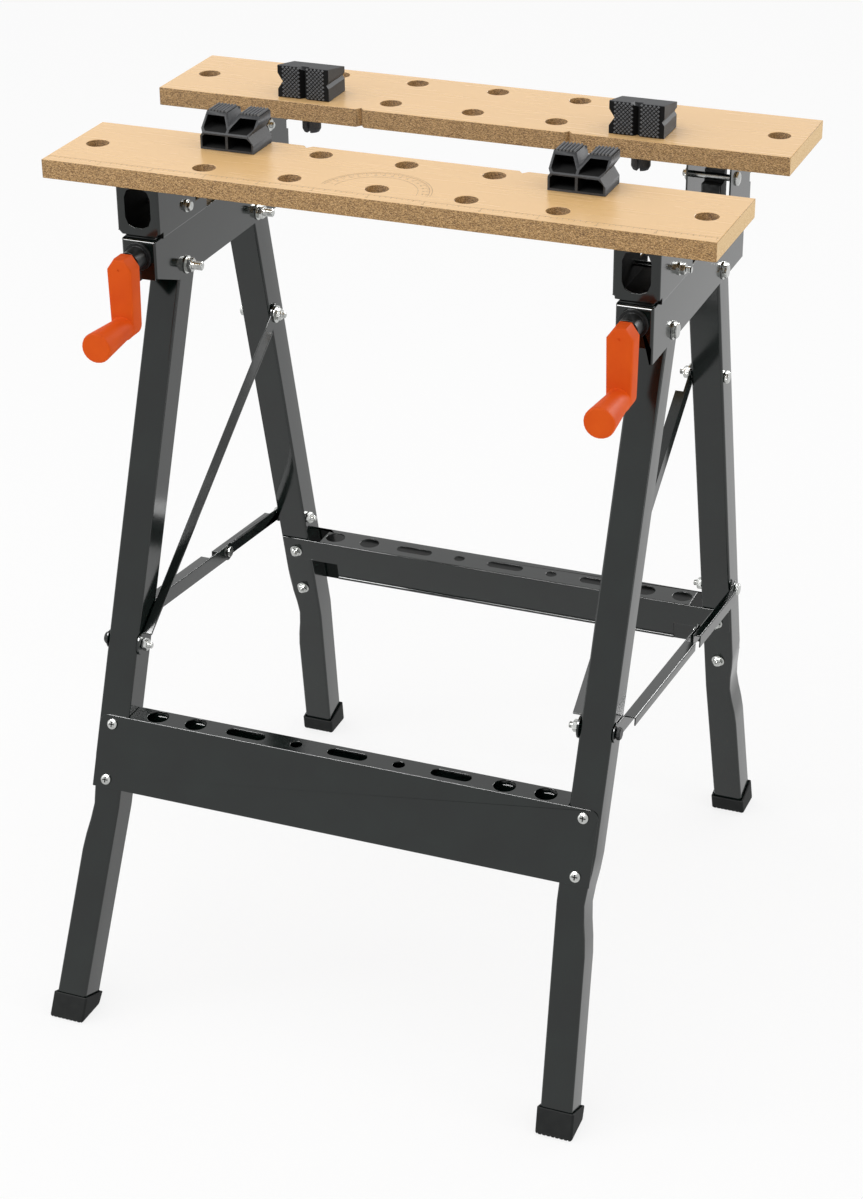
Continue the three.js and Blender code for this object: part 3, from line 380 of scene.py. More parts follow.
def make_nylon(name, dark, light):
    """Glass-filled nylon: half matt, with a drag of fibres near the surface; a paler copy of it is painted
    highlight.
    """
    return mottled(name, (1.6, 5), ((0.3, dark), (0.75, light)), (0.5, 0.62), (1.6, 5, 0.08, 0.35),
                   IOR=1.53, Specular_IOR_Level=0.1)


def make_laminate():
    """Lacquered board face: pale tan with a very faint grain along the board, and a soft gloss."""
    made, tree, shader, place = new_material("lacquered_board", IOR=1.5)
    along = add(tree, "ShaderNodeMapping", {"Vector": place, "Scale": (0.06, 1, 1)})
    grain = noise(tree, along, 5, 6, Distortion=0.6)
    colour_by(tree, shader, grain, (0.25, "#EFC387"), (0.8, "#F0C589"))
    roughen(tree, shader, grain, 0.25, 0.29)
    raise_bumps(tree, shader, grain, 0.02, 0.08)
    return made


def make_chipboard(name, dark, middle, light):
    """Sawn chipboard: pressed flakes of about two millimetres, from dark bark to pale sapwood, matt."""
    made, tree, shader, place = new_material(name, IOR=1.45)
    flat = add(tree, "ShaderNodeMapping", {"Vector": place, "Scale": (0.55, 0.8, 1.25)})
    flakes = add(tree, "ShaderNodeTexVoronoi", {"Vector": flat, "Scale": per_metre(0.5)})
    fines = noise(tree, place, 0.3, 4)
    tint = add(tree, "ShaderNodeSeparateColor", {"Color": flakes.outputs["Color"]})
    half = compute(tree, "MULTIPLY", compute(tree, "ADD", tint, fines), 0.5)
    colour_by(tree, shader, half, (0.3, dark), (0.5, middle), (0.7, light))
    roughen(tree, shader, fines, 0.7, 0.9)
    raise_bumps(tree, shader, half, 0.25, 0.5)
    return made


# Gloss black enamel, dipped and baked on steel: a deep black that shows its surroundings, faintly rippled
ENAMEL = mottled("black_enamel", (35, 5), ((0.35, "#040C0A"), (0.75, "#0A1512")), (0.08, 0.17),
                 (7, 2, 0.05, 0.35), IOR=1.5)
# Painted shade: a matt near-black coat on the walls inside the front brackets, standing in for the shade in
# there
INNER_SHADE = mottled("painted_inner_shade", (6, 4), ((0.3, "#050505"), (0.8, "#0D0D0D")), (0.6, 0.85),
                    Specular_IOR_Level=0.12)
ZINC = make_zinc("bright_zinc", "#9FA19F", "#CDCECB", 0.12)
SPINDLE_STEEL = make_zinc("drawn_steel", "#999B98", "#C2C3C0", 0.22)
# Blackened steel: dark oxide over turned metal, half matt
BLACK_STEEL = mottled("blackened_steel", (3, 5), ((0.3, "#1D1E1E"), (0.75, "#333434")), (0.3, 0.5),
                      Metallic=0.85)
# Moulded black rubber: matt, with fine pores and a little pale dust
RUBBER = mottled("black_rubber", (9, 6), ((0.35, "#131515"), (0.8, "#1F2120")), (0.6, 0.8),
                 (0.9, 3, 0.15, 0.4), IOR=1.52, Specular_IOR_Level=0.15)
# Moulded orange polypropylene: even colour, soft shine, fine spark-eroded grain
ORANGE = mottled("orange_plastic", (22, 3), ((0.3, "#D85010"), (0.75, "#E05A13")), (0.5, 0.6),
                 (0.7, 2, 0.06, 0.4), IOR=1.49, Specular_IOR_Level=0.08)
NYLON = make_nylon("grey_nylon", "#37383A", "#47484A")
# Painted highlight: a paler copy of the nylon on the points of the knurl and the dogs' ridges, where the light
# catches them
LIT_NYLON = make_nylon("painted_highlight_nylon", "#5C5D5F", "#757678")
# Painted shade: near-black matt nylon on the walls of the moulded cells, on the gripping face between the
# points of the knurl and on the front dogs' top between the ridges
CELL_SHADE = mottled("painted_shade_nylon", (3, 4), ((0.3, "#040404"), (0.8, "#090909")), (0.8, 0.95),
                     IOR=1.53, Specular_IOR_Level=0.1)
LAMINATE = make_laminate()
CHIPBOARD = make_chipboard("sawn_chipboard", "#65461F", "#A1783F", "#CFA871")
SEALED_END = make_chipboard("sealed_chipboard", "#CBA672", "#DBB985", "#E9CB9A")
# Stamped brown ink, a little patchy where the roller missed
INK = mottled("brown_ink", (6, 4), ((0.35, "#7A5C38"), (0.75, "#A88759")), (0.45, 0.45))


def new_tree(name, **inputs):
    """A geometry tree that takes inputs of these kinds and a finish, and the sockets of what it is given."""
    tree = bpy.data.node_groups.new(name, "GeometryNodeTree")
    for label, kind in {**inputs, "Finish": "Material"}.items():
        tree.interface.new_socket(label, in_out="INPUT", socket_type=f"NodeSocket{kind}")
    tree.interface.new_socket("Geometry", in_out="OUTPUT", socket_type="NodeSocketGeometry")
    return tree, add(tree, "NodeGroupInput").outputs


def copies_at(tree, given, points, **more):
    """The given piece at each point."""
    piece = add(tree, "GeometryNodeObjectInfo", {"Object": given["Piece"]}, transform_space="ORIGINAL")
    inputs = {"Points": points, "Instance": piece.outputs["Geometry"], **more}
    return add(tree, "GeometryNodeInstanceOnPoints", inputs)


def end_tree(tree, given, shape):
    """Ends a tree with a shape, as plain geometry in the given finish."""
    real = add(tree, "GeometryNodeRealizeInstances", {"Geometry": shape})
    finish = add(tree, "GeometryNodeSetMaterial",
                 {"Geometry": real, "Material": given["Finish"]})
    add(tree, "NodeGroupOutput", {"Geometry": finish})
    return tree


def row_tree():
    """Copies of one piece in a straight row."""
    tree, given = new_tree("row_of_pieces", Piece="Object", Count="Int", Start="Vector", Step="Vector")
    inputs = {"Count": given["Count"], "Start Location": given["Start"], "Offset": given["Step"]}
    line = add(tree, "GeometryNodeMeshLine", inputs, mode="OFFSET")
    return end_tree(tree, given, copies_at(tree, given, line))


def stud_tree():
    """Copies of one stud in a staggered field on the XZ plane, two grids half a step apart."""
    tree, given = new_tree("field_of_studs", Piece="Object", Columns="Int", Rows="Int", Width="Float",
                           Height="Float", Centre="Vector")
    grid = add(tree, "GeometryNodeMeshGrid", {"Size X": given["Width"], "Size Y": given["Height"],
                                              "Vertices X": given["Columns"], "Vertices Y": given["Rows"]})
    middles = add(tree, "GeometryNodeDualMesh", {"Mesh": grid})
    both = add(tree, "GeometryNodeJoinGeometry", {"Geometry": grid})
    feed(tree, both, "Geometry", middles)
    inputs = {"Geometry": both, "Rotation": (math.pi / 2, 0, 0), "Translation": given["Centre"]}
    field = add(tree, "GeometryNodeTransform", inputs)
    return end_tree(tree, given, copies_at(tree, given, field))


def fan_tree():
    """Copies of one piece turned about Z through equal steps."""
    tree, given = new_tree("fan_of_pieces", Piece="Object", Count="Int", Start="Float", Turn="Float")
    line = add(tree, "GeometryNodeMeshLine", {"Count": given["Count"], "Offset": (0, 0, 0)}, mode="OFFSET")
    index = add(tree, "GeometryNodeInputIndex")
    angle = compute(tree, "MULTIPLY_ADD", index, given["Turn"], given["Start"])
    turn = add(tree, "ShaderNodeCombineXYZ", {"Z": angle})
    return end_tree(tree, given, copies_at(tree, given, line, Rotation=turn))


def spiral_tree():
    """A ridge wound about Z."""
    tree, given = new_tree("wound_ridge", Turns="Float", Radius="Float", Height="Float", Ridge="Float")
    path = add(tree, "GeometryNodeCurveSpiral",
               {"Resolution": 16, "Rotations": given["Turns"], "Start Radius": given["Radius"],
                "End Radius": given["Radius"], "Height": given["Height"]})
    section = add(tree, "GeometryNodeCurvePrimitiveCircle", {"Resolution": 4, "Radius": given["Ridge"]})
    wound = add(tree, "GeometryNodeCurveToMesh",
                {"Curve": path, "Profile Curve": section, "Fill Caps": True})
    return end_tree(tree, given, wound)


ROW = row_tree()
STUDS = stud_tree()
FAN = fan_tree()
SPIRAL = spiral_tree()


# Meshes


def new_object(name, data):
    made = bpy.data.objects.new(name, data)
    bpy.context.scene.collection.objects.link(made)
    return made


def object_of(name, bm, *materials, outwards=True):
    """An object from a bmesh, with its faces turned outwards unless they are right already."""
    if outwards:
        bmesh.ops.recalc_face_normals(bm, faces=bm.faces)
    mesh = bpy.data.meshes.new(name)
    bm.to_mesh(mesh)
    bm.free()
    for material in materials:
        mesh.materials.append(material)
    return new_object(name, mesh)


def settle(made):
    """Turns an object's modifiers into plain geometry."""
    graph = bpy.context.evaluated_depsgraph_get()
    mesh = bpy.data.meshes.new_from_object(made.evaluated_get(graph))
    made.modifiers.clear()
    old = made.data
    made.data = mesh
    bpy.data.meshes.remove(old)
    return made


def smooth(made, kind="sheet"):
    """Rounds a piece's shading, with flat faces kept flat and edges sharp past its kind's angle."""
    made.data.shade_smooth()
    made.data.set_sharp_from_angle(angle=math.radians(SHADE[kind]))
    even = made.modifiers.new("even", "WEIGHTED_NORMAL")
    even.keep_sharp = True
    even.weight = 100
    return settle(made)


def boolean(made, tool, operation="DIFFERENCE"):
    """Cuts a piece with a tool, or joins the two, and removes the tool."""
    cut = made.modifiers.new("cut", "BOOLEAN")
    cut.operation = operation
    cut.object = tool
    cut.solver = "EXACT"
    cut.material_mode = "TRANSFER"
    settle(made)
    bpy.data.objects.remove(tool)
    return made


def dress(made, node, extra=False):
    """Puts a finished piece on a solid's body, in the solid's place unless it is an extra."""
    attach(made, nodes[node]["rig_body"])
    if not extra:
        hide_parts(node)


def grow(name, tree, **values):
    """The object that a node tree makes with these values, as a plain mesh."""
    made = new_object(name, bpy.data.meshes.new(name))
    modifier = made.modifiers.new("grow", "NODES")
    modifier.node_group = tree
    for item in tree.interface.items_tree:
        if item.in_out == "INPUT":
            modifier[item.identifier] = values[item.name]
    return settle(made)


def repeat(name, tree, piece, **values):
    """Copies of a piece, laid out by a node tree; the piece itself is removed."""
    made = grow(name, tree, Piece=piece, Finish=piece.data.materials[0], **values)
    bpy.data.objects.remove(piece)
    return made


def merge(name, parts):
    """One object from several, each with its own materials."""
    bm = bmesh.new()
    materials = []
    for part in parts:
        first = len(bm.faces)
        bm.from_mesh(part.data)
        bm.faces.ensure_lookup_table()
        slots = list(part.data.materials)
        materials += [material for material in slots if material not in materials]
        for face in bm.faces[first:]:
            face.material_index = materials.index(slots[face.material_index])
        bpy.data.objects.remove(part)
    return object_of(name, bm, *materials, outwards=False)


def offset_loop(loop, distance):
    """A closed 2-D loop moved towards its left-hand side."""
    moved = []
    for before, here, after in zip(loop[-1:] + loop[:-1], loop, loop[1:] + loop[:1]):
        a, b = (here - before).normalized(), (after - here).normalized()
        left = Vector((-a.y - b.y, a.x + b.x))
        moved.append(here + left * (distance / (1 + a.dot(b))))
    return moved


def wall(bm, under, over):
    """Faces between two closed loops of corners."""
    for i in range(len(under)):
        bm.faces.new((under[i - 1], under[i], over[i], over[i - 1]))


def plate(name, loops, low, high, edge, place, *materials):
    """A flat piece from a counter-clockwise outline and clockwise holes, with its edges rounded."""
    bm = bmesh.new()
    soft = [(edge * (1 - math.cos(t)), edge * (1 - math.sin(t))) for t in (0, math.pi / 4, math.pi / 2)]
    levels = [(low + lift, inset) for lift, inset in soft]
    levels += [(high - lift, inset) for lift, inset in reversed(soft)]
    rings = []
    for height, inset in levels:
        moved = [offset_loop(loop, inset) for loop in loops]
        rings.append([[bm.verts.new(place @ Vector((*p, height))) for p in loop] for loop in moved])
    for lower, upper in zip(rings, rings[1:]):
        for under, over in zip(lower, upper):
            wall(bm, under, over)
    for ring in (rings[0], rings[-1]):
        corners = [corner for loop in ring for corner in loop]
        for triangle in tessellate_polygon([[corner.co for corner in loop] for loop in ring]):
            bm.faces.new([corners[i] for i in triangle])
    return object_of(name, bm, *materials)


def prism(name, points, low, high, place, *materials):
    """A straight prism over a counter-clockwise loop."""
    return plate(name, [[Vector(p) for p in points]], low, high, SHARP, place, *materials)


def rectangle(left, right, near, far):
    return [(left, near), (right, near), (right, far), (left, far)]


def trapezium(base, low, top, high):
    """A section from half its base's width and half its top's."""
    return [(-base, low), (base, low), (top, high), (-top, high)]


def arc(centre, radius, start, end, count):
    """Points on an arc, in degrees."""
    steps = (math.radians(start + (end - start) * i / count) for i in range(count + 1))
    return [Vector((centre[0] + radius * math.cos(t), centre[1] + radius * math.sin(t))) for t in steps]


def axis_frame(origin, direction):
    """A frame at a point, with Z along a direction."""
    return Matrix.Translation(origin) @ Vector(direction).to_track_quat("Z", "Y").to_matrix().to_4x4()


def turned(name, place, stations, *materials):
    """A body along Z from (height, radius) stations in millimetres, with a number of sides if not round."""
    bm = bmesh.new()
    rings = []
    for height, radius, *sides in stations:
        ring = []
        for i in range(ROUND_STEPS):
            t = 2 * math.pi * i / ROUND_STEPS
            reach = radius
            if sides:
                sector = math.pi / sides[0]
                reach = radius * math.cos(sector) / math.cos(t % (2 * sector) - sector)
            ring.append(place @ (Vector((reach * math.cos(t), reach * math.sin(t), height)) * MM))
        rings.append([bm.verts.new(point) for point in ring])
    for under, over in zip(rings, rings[1:]):
        wall(bm, under, over)
    bm.faces.new(rings[0])
    bm.faces.new(rings[-1])
    return object_of(name, bm, *materials)


def box_in_mm(node):
    return [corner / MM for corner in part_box(node)]


def local_points(node, place):
    """A solid's corners in a frame."""
    back = place.inverted()
    return [back @ corner.co for corner in nodes[node].data.vertices]


def local_box(node, place):
    """Lowest and highest corner of a solid, in a frame."""
    points = local_points(node, place)
    return Vector([*map(min, *points)]), Vector([*map(max, *points)])


# Sheet metal and tube


def face_width(loop):
    """Distance across a face, from the middle of one of its edges to the edge opposite."""
    here, there = loop.vert.co, loop.link_loop_next.vert.co
    along = (there - here).normalized()
    inward = loop.face.normal.cross(along)
    middle = (here + there) / 2
    nearest = math.inf
    for other in loop.face.loops:
        if other == loop:
            continue
        a, b = other.vert.co - middle, other.link_loop_next.vert.co - middle
        before, after = a.dot(along), b.dot(along)
        if before * after <= 0 and before != after:
            share = before / (before - after)
            nearest = min(nearest, abs(a.lerp(b, share).dot(inward)))
    return nearest


def soften(bm, rim, fold):
    """Weights a sheet piece's edges for rounding: folds by their radius, cut edges by a little."""
    weight = bm.edges.layers.float.new("bevel_weight_edge")
    for edge in bm.edges:
        if len(edge.link_loops) != 2 or edge.calc_face_angle() < math.radians(FOLD_ANGLE):
            continue
        wide = min(face_width(loop) for loop in edge.link_loops) > WIDE_FACE
        is_fold = edge.is_convex and wide and edge.calc_length() > SHORT_EDGE
        edge[weight] = 1.0 if is_fold else rim / fold


def softened(node, suffix, material, rim=RIM, fold=FOLD_CORNER):
    """A solid's copy with its triangles joined and its edges rounded."""
    bm = bmesh.new()
    bm.from_mesh(nodes[node].data)
    bmesh.ops.remove_doubles(bm, verts=bm.verts, dist=WELD)
    bmesh.ops.dissolve_limit(bm, angle_limit=math.radians(FLAT_ANGLE), verts=bm.verts, edges=bm.edges)
    soften(bm, rim, fold)
    made = object_of(f"{node}_{suffix}", bm, material)
    bevel = made.modifiers.new("round", "BEVEL")
    bevel.limit_method = "WEIGHT"
    bevel.width = fold
    bevel.segments = 3
    bevel.use_clamp_overlap = False
    return settle(made)


def rounded(node, suffix, slot, material, **sizes):
    """A solid's rounded copy, in the solid's place."""
    made = smooth(softened(node, suffix, material, **sizes))
    dress(made, node)


def make_boot(node):
    """A rubber boot with grooves across its sole."""
    made = softened(node, "rubber", RUBBER, rim=BOOT_RIM, fold=BOOT_FOLD)
    low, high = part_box(node)
    reach = (high.y - low.y) / MM
    section = trapezium(SOLE_GROOVE, -SOLE_CLEAR, SOLE_GROOVE_TOP, SOLE_DEPTH)
    groove = prism("groove", section, -reach, reach, TO_METRES @ UPRIGHT, RUBBER)
    pitch = SOLE_PITCH * MM
    count = int((high.x - low.x) / pitch) - 1
    middle = (low + high) / 2
    start = (middle.x - (count - 1) / 2 * pitch, middle.y, low.z)
    boolean(made, repeat("grooves", ROW, groove, Count=count, Start=start, Step=(pitch, 0, 0)))
    dress(smooth(made), node)


# Boards


def board_loops(low, high, grip):
    """Outline and holes of a board; grip is 1 where its back edge grips and -1 where its front edge does."""
    middle = (low.y + high.y) / 2
    corners = [Vector(corner) for corner in rectangle(low.x, high.x, low.y, high.y)]
    edge = high.y if grip > 0 else low.y
    notch = []
    for place in sorted(NOTCH_PLACES, reverse=grip > 0):
        x = place * MM
        step = -NOTCH_HALF_WIDTH * grip
        notch += [Vector((x - step, edge)), Vector((x, edge - grip * NOTCH_DEPTH)), Vector((x + step, edge))]
    outline = corners[:3] + notch + corners[3:] if grip > 0 else corners[:1] + notch + corners[1:]
    centres = [(x * MM, middle + row) for x in HOLE_COLUMNS for row in HOLE_ROWS]
    centres += [(low.x + END_HOLE_INSET, middle), (high.x - END_HOLE_INSET, middle)]
    return [outline] + [arc(centre, HOLE_RADIUS, 0, -360, HOLE_STEPS)[:-1] for centre in centres]


def make_board(pair):
    """A board with lacquered faces, sawn edges and sealed ends."""
    node = f"{pair}_board"
    low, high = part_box(node)
    made = plate(f"{node}_panel", board_loops(low, high, GRIPS[pair]), low.z, high.z, BOARD_EDGE, Matrix(),
                 LAMINATE, CHIPBOARD, SEALED_END)
    for face in made.data.polygons:
        if abs(face.normal.z) < 0.5:
            is_end = abs(face.normal.x) > 0.99 and abs(face.center.x) > high.x - BOARD_EDGE
            face.material_index = 2 if is_end else 1
    dress(smooth(made, "board"), node)


# Fasteners


def threads(start, end, radius):
    """Ridges of a cut thread."""
    stations = [(start, radius - 2 * THREAD_DEPTH)]
    height = start + THREAD_PITCH / 2
    while height + THREAD_PITCH < end:
        stations += [(height, radius), (height + THREAD_PITCH / 2, radius - THREAD_DEPTH)]
        height += THREAD_PITCH
    return stations + [(end, radius)]


def hexagon(start, end, radius):
    """A six-sided block with its corners turned off at its ends."""
    face = radius * math.cos(math.pi / 6) * CHAMFER_SHARE
    return [(start, face), (start + CHAMFER, radius, 6), (end - CHAMFER, radius, 6), (end, face)]


def dome(start, end, radius):
    """A head with a short upright wall, domed to a small flat."""
    stations = [(start, radius)]
    for i in range(DOME_STEPS + 1):
        t = math.pi / 2 * i / DOME_STEPS
        rise = DOME_WALL + (1 - DOME_WALL) * math.sin(t)
        reach = DOME_FLAT + (1 - DOME_FLAT) * math.cos(t)
        stations.append((start + (end - start) * rise, radius * reach))
    return stations


def disc(start, thickness, radius):
    return [(start, radius), (start + thickness, radius)]


def bolt_stations(length, sizes, washer=0.0, flange=0.0, domed=0.0):
    """A bolt from its thread's end: thread, nut, washer, shank, and a six-sided or domed head."""
    radius, across, nut, tip, head = sizes
    nut_end = tip + nut
    stations = threads(0, tip, radius) + hexagon(tip, nut_end, across)
    if flange:
        stations.append((nut_end - NUT_NECK, across * NECK_SHARE))
        stations += disc(nut_end - NUT_FLANGE, NUT_FLANGE, flange)
    if washer:
        stations += disc(nut_end, WASHER_THICKNESS, washer)
        nut_end += WASHER_THICKNESS
    head_start = length - head
    stations += [(nut_end, radius), (head_start, radius)]
    if domed:
        return stations + dome(head_start, length, domed)
    if flange:
        stations += disc(head_start, HEAD_FLANGE, flange)
        head_start += HEAD_FLANGE
    return stations + hexagon(head_start, length, across)


def make_cross_bolt(node, side, sizes, proud=0, reach=0, dark=False, **kinds):
    """A bolt across the bench, nut towards the middle; its head and tip stand prouder than the solid's."""
    low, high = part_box(node)
    middle = (low + high) / 2
    inner = low.x if side > 0 else high.x
    place = axis_frame((inner - side * reach * MM, middle.y, middle.z), (side, 0, 0))
    stations = bolt_stations((high.x - low.x) / MM + proud + reach, sizes, **kinds)
    made = smooth(turned(f"{node}_plated", place, stations, ZINC, BLACK_STEEL), "turned")
    for face in made.data.polygons:
        face.material_index = int(dark and side * (face.center.x - middle.x) > 0)
    dress(made, node)


def leg_frame(pair):
    _, y, z = joints[f"{pair}_fold"]["pos_m"]
    return Matrix.Translation((0, y, z)) @ Matrix.Rotation(math.radians(LEAN[pair]), 4, "X")


def cut_cross(made, place):
    """Cuts a cross recess into a screw's head; the place has its origin on the head's top and Z outwards."""
    for a, b in ((CROSS_REACH, CROSS_WIDTH), (CROSS_WIDTH, CROSS_REACH)):
        slot = rectangle(-a, a, -b, b)
        # The cutter's blackened steel is left on the recess's walls as painted shade
        boolean(made, prism("slot", slot, -CROSS_DEPTH, CLEAR, place @ TO_METRES, BLACK_STEEL))


def make_tray_bolt(node, pair):
    """A bolt through a tray and a leg, its domed head outwards."""
    place = leg_frame(pair)
    low, high = local_box(node, place)
    middle = (low + high) / 2
    out = -GRIPS[pair]
    end = high.y if out < 0 else low.y
    along = place @ axis_frame((middle.x, end, middle.z), (0, out, 0))
    length = (high.y - low.y) / MM
    stations = bolt_stations(length, SCREW, flange=SCREW_FLANGE, domed=PAN_HEAD)
    made = turned(f"{node}_plated", along, stations, ZINC)
    cut_cross(made, along @ Matrix.Translation((0, 0, length * MM)))
    dress(smooth(made, "turned"), node)


# Cranks


def make_crank(name):
    """A crank: a flat arm with cut shoulders, a tapered knob at its foot, and a mark over the spindle."""
    node = f"crank_{name}"
    low, high = box_in_mm(node)
    x, _, z = (value / MM for value in joints[f"crank_turn_{name}"]["pos_m"])
    face, foot, top = high.y - ARM_THICKNESS, z - CRANK_REACH, z + ARM_TOP
    shoulders = [(ARM_HALF_WIDTH, -ARM_CUT[1]), (ARM_HALF_WIDTH - ARM_CUT[0], 0)]
    shoulders += [(-reach, drop) for reach, drop in reversed(shoulders)]
    outline = [Vector((x + reach, top + drop)) for reach, drop in shoulders]
    outline += arc((x, foot), ARM_FOOT, 180, 360, FOOT_STEPS)
    arm = plate(f"{node}_moulding", [outline], -high.y, -face, ARM_EDGE, TO_METRES @ UPRIGHT, ORANGE)
    length = face - low.y
    grip = [(along, KNOB_NECK + past) for along, past in KNOB_ROOT]
    grip += [(length - before, KNOB_RADIUS - inside) for before, inside in KNOB_END]
    boolean(arm, turned("knob", axis_frame(Vector((x, face, foot)) * MM, FORWARD), grip, ORANGE), "UNION")
    mark = [(-MARK_DEPTH, MARK_RADIUS), (SMALL_CLEAR, MARK_RADIUS)]
    boolean(arm, turned("mark", axis_frame(Vector((x, face, z)) * MM, FORWARD), mark, ORANGE))
    dress(smooth(arm, "crank"), node)


# Dogs, built in millimetres with the peg's axis as origin and Y towards the gripping face


def dog_outline():
    """A dog from behind, with a groove in each side."""
    half, middle = DOG_HALF_WIDTH, DOG_HEIGHT / 2
    outline = []
    for hand, (depth, flank) in DOG_SIDE_GROOVES.items():
        groove = [(half, middle - flank), (half - depth, middle), (half, middle + flank)]
        up = [(half, 0), *groove, (half, DOG_HEIGHT)]
        outline += [Vector((hand * x, z)) for x, z in (up if hand > 0 else reversed(up))]
    return outline


def cut_dog_faces(block, pair):
    """Cuts a dog's slope, the valley in its top and the upright groove in its gripping face."""
    run, fall = DOG_SLOPES[pair]
    start, crest, above = DOG_HEIGHT - fall, DOG_BACK + run, DOG_HEIGHT + CLEAR
    behind, reach = DOG_BACK - CLEAR, DOG_HALF_WIDTH + CLEAR
    slope = [(DOG_BACK, start), (crest, DOG_HEIGHT), (crest, above), (behind, above), (behind, start)]
    boolean(block, prism("slope", slope, -reach, reach, ALONG_X))
    depth, length = DOG_VALLEYS[pair]
    wide, rim = DOG_VALLEY_HALF * (depth + SHORT_CLEAR) / depth, DOG_HEIGHT + SHORT_CLEAR
    valley = [(0, DOG_HEIGHT - depth), (wide, rim), (-wide, rim)]
    boolean(block, prism("valley", valley, -DOG_FACE - CLEAR, length - DOG_FACE, UPRIGHT))
    wide, front = 2 * DOG_GROOVE_HALF, DOG_FACE + DOG_GROOVE
    groove = [(-wide, front), (0, DOG_FACE - DOG_GROOVE), (wide, front)]
    boolean(block, prism("groove", groove, -CLEAR, above, Matrix()))


def cut_dog_cells(block, pair):
    """Cuts the moulded cells into a dog's back, two on each side."""
    edge, rib, middle, lid = DOG_HALF_WIDTH - DOG_WALL, DOG_RIB, DOG_HEIGHT / 2, DOG_LIDS[pair]
    for hand, (bite, flank) in DOG_CELL_CORNERS.items():
        lower = [(rib, DOG_WALL), (edge, DOG_WALL), (edge, middle - flank), (edge - bite, middle - rib),
                 (rib, middle - rib)]
        upper = [(rib, middle + rib), (edge - bite, middle + rib), (edge, middle + flank), (edge, lid),
                 (DOG_VALLEY_HALF + DOG_WALL, lid), (rib, DOG_CELL_PEAK)]
        for points, floor in zip((lower, upper), DOG_CELL_FLOORS):
            loop = points if hand > 0 else [(-x, z) for x, z in reversed(points)]
            # The cutter leaves painted shade, the near-black nylon, on the cell walls
            boolean(block, prism("cell", loop, -floor, SHORT_CLEAR - DOG_BACK, UPRIGHT, CELL_SHADE))


def dog_block(pair):
    """A dog's block, with painted shade in its cells, behind the points of its knurl, and on a front dog's top
    between the ridges.
    """
    block = plate("dog_block", [dog_outline()], -DOG_FACE, -DOG_BACK, DOG_CORNER, UPRIGHT, NYLON)
    cut_dog_faces(block, pair)
    cut_dog_cells(block, pair)
    ease = block.modifiers.new("ease", "BEVEL")
    ease.width = DOG_EASE
    ease.segments = 2
    ease.angle_limit = math.radians(EASE_ANGLE)
    settle(block)
    # Painted shade on the gripping face behind the knurl, and on a front dog's top between the ridges
    for face in block.data.polygons:
        grips = face.normal.y > 0.5 and face.center.y > DOG_FACE - DOG_GROOVE
        if grips or (pair == "front" and face.normal.z > 0.9 and face.center.z > DOG_HEIGHT - 1):
            face.material_index = list(block.data.materials).index(CELL_SHADE)
    return block


def stud():
    """A four-sided point of the knurl, on a gripping face, in the paler nylon of painted highlight."""
    bm = bmesh.new()
    corners = ((STUD_REACH, 0), (0, STUD_REACH), (-STUD_REACH, 0), (0, -STUD_REACH))
    base = [bm.verts.new((x, -STUD_SINK, z)) for x, z in corners]
    tip = bm.verts.new((0, STUD_RISE, 0))
    bm.faces.new(base)
    for i in range(4):
        bm.faces.new((base[i - 1], base[i], tip))
    return object_of("stud", bm, LIT_NYLON)


def ridge():
    """A ridge of a front dog's top, along Y from the slope's edge, in the paler nylon of painted highlight."""
    section = trapezium(RIDGE_HALF, -RIDGE_SINK, RIDGE_TOP, RIDGE_RISE)
    return prism("ridge", section, 1 - DOG_FACE, -DOG_BACK - DOG_SLOPES["front"][0], UPRIGHT, LIT_NYLON)


def make_peg():
    """A dog's split peg."""
    run, taper = PEG_TAPER
    stations = [(-PEG_DEPTH, PEG_RADIUS - taper), (run - PEG_DEPTH, PEG_RADIUS)]
    stations += [(height, PEG_RADIUS) for height in PEG_ROOT]
    stem = turned("peg", TO_METRES.inverted(), stations, NYLON)
    slit = rectangle(-SLIT_HALF, SLIT_HALF, -SLIT_REACH, SLIT_REACH)
    return boolean(stem, prism("slit", slit, -PEG_DEPTH - CLEAR, SLIT_TOP, Matrix()))


def make_dog(pair):
    """A whole dog: the front pair have a ridged top, and the rear pair a plain one."""
    parts = [dog_block(pair), make_peg()]
    columns, rows = KNURL
    width, height = (columns - 1) * STUD_PITCH, (rows - 1) * STUD_PITCH
    for hand in (-1, 1):
        centre = Vector((hand * KNURL_CENTRE, DOG_FACE, DOG_HEIGHT / 2))
        parts.append(repeat("knurl", STUDS, stud(), Columns=columns, Rows=rows, Width=width, Height=height,
                            Centre=centre))
        if pair == "front":
            first = hand * RIDGE_CENTRE - (RIDGES - 1) / 2 * RIDGE_PITCH
            parts.append(repeat("ridges", ROW, ridge(), Count=RIDGES, Start=(first, 0, DOG_HEIGHT),
                                Step=(RIDGE_PITCH, 0, 0)))
    return smooth(merge("dog", parts), "dog")


def make_dogs():
    """Four dogs from two patterns, each pair with its gripping faces inwards."""
    for pair, grip in GRIPS.items():
        whole = make_dog(pair)
        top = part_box(f"{pair}_board")[1].z
        for name in SIDES:
            node = f"{pair}_dog_{name}"
            low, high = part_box(node)
            face = high.y if grip > 0 else low.y
            origin = Vector(((low.x + high.x) / 2, face - grip * DOG_FACE * MM, top + DOG_LIFT * MM))
            mesh = whole.data.copy()
            mesh.transform(Matrix.Translation(origin) @ Matrix.Diagonal((grip, grip, 1, 1)) @ TO_METRES)
            dress(new_object(f"{node}_moulding", mesh), node)
        bpy.data.objects.remove(whole)


# Printed scale, in millimetres from the middle of the front board's front edge


def ink_stroke(start, end, rise=INK_RISE):
    """A stroke of ink along Y."""
    stroke = rectangle(-INK_WIDTH / 2, INK_WIDTH / 2, start, end)
    return prism("stroke", stroke, -INK_DEPTH, rise, Matrix(), INK)


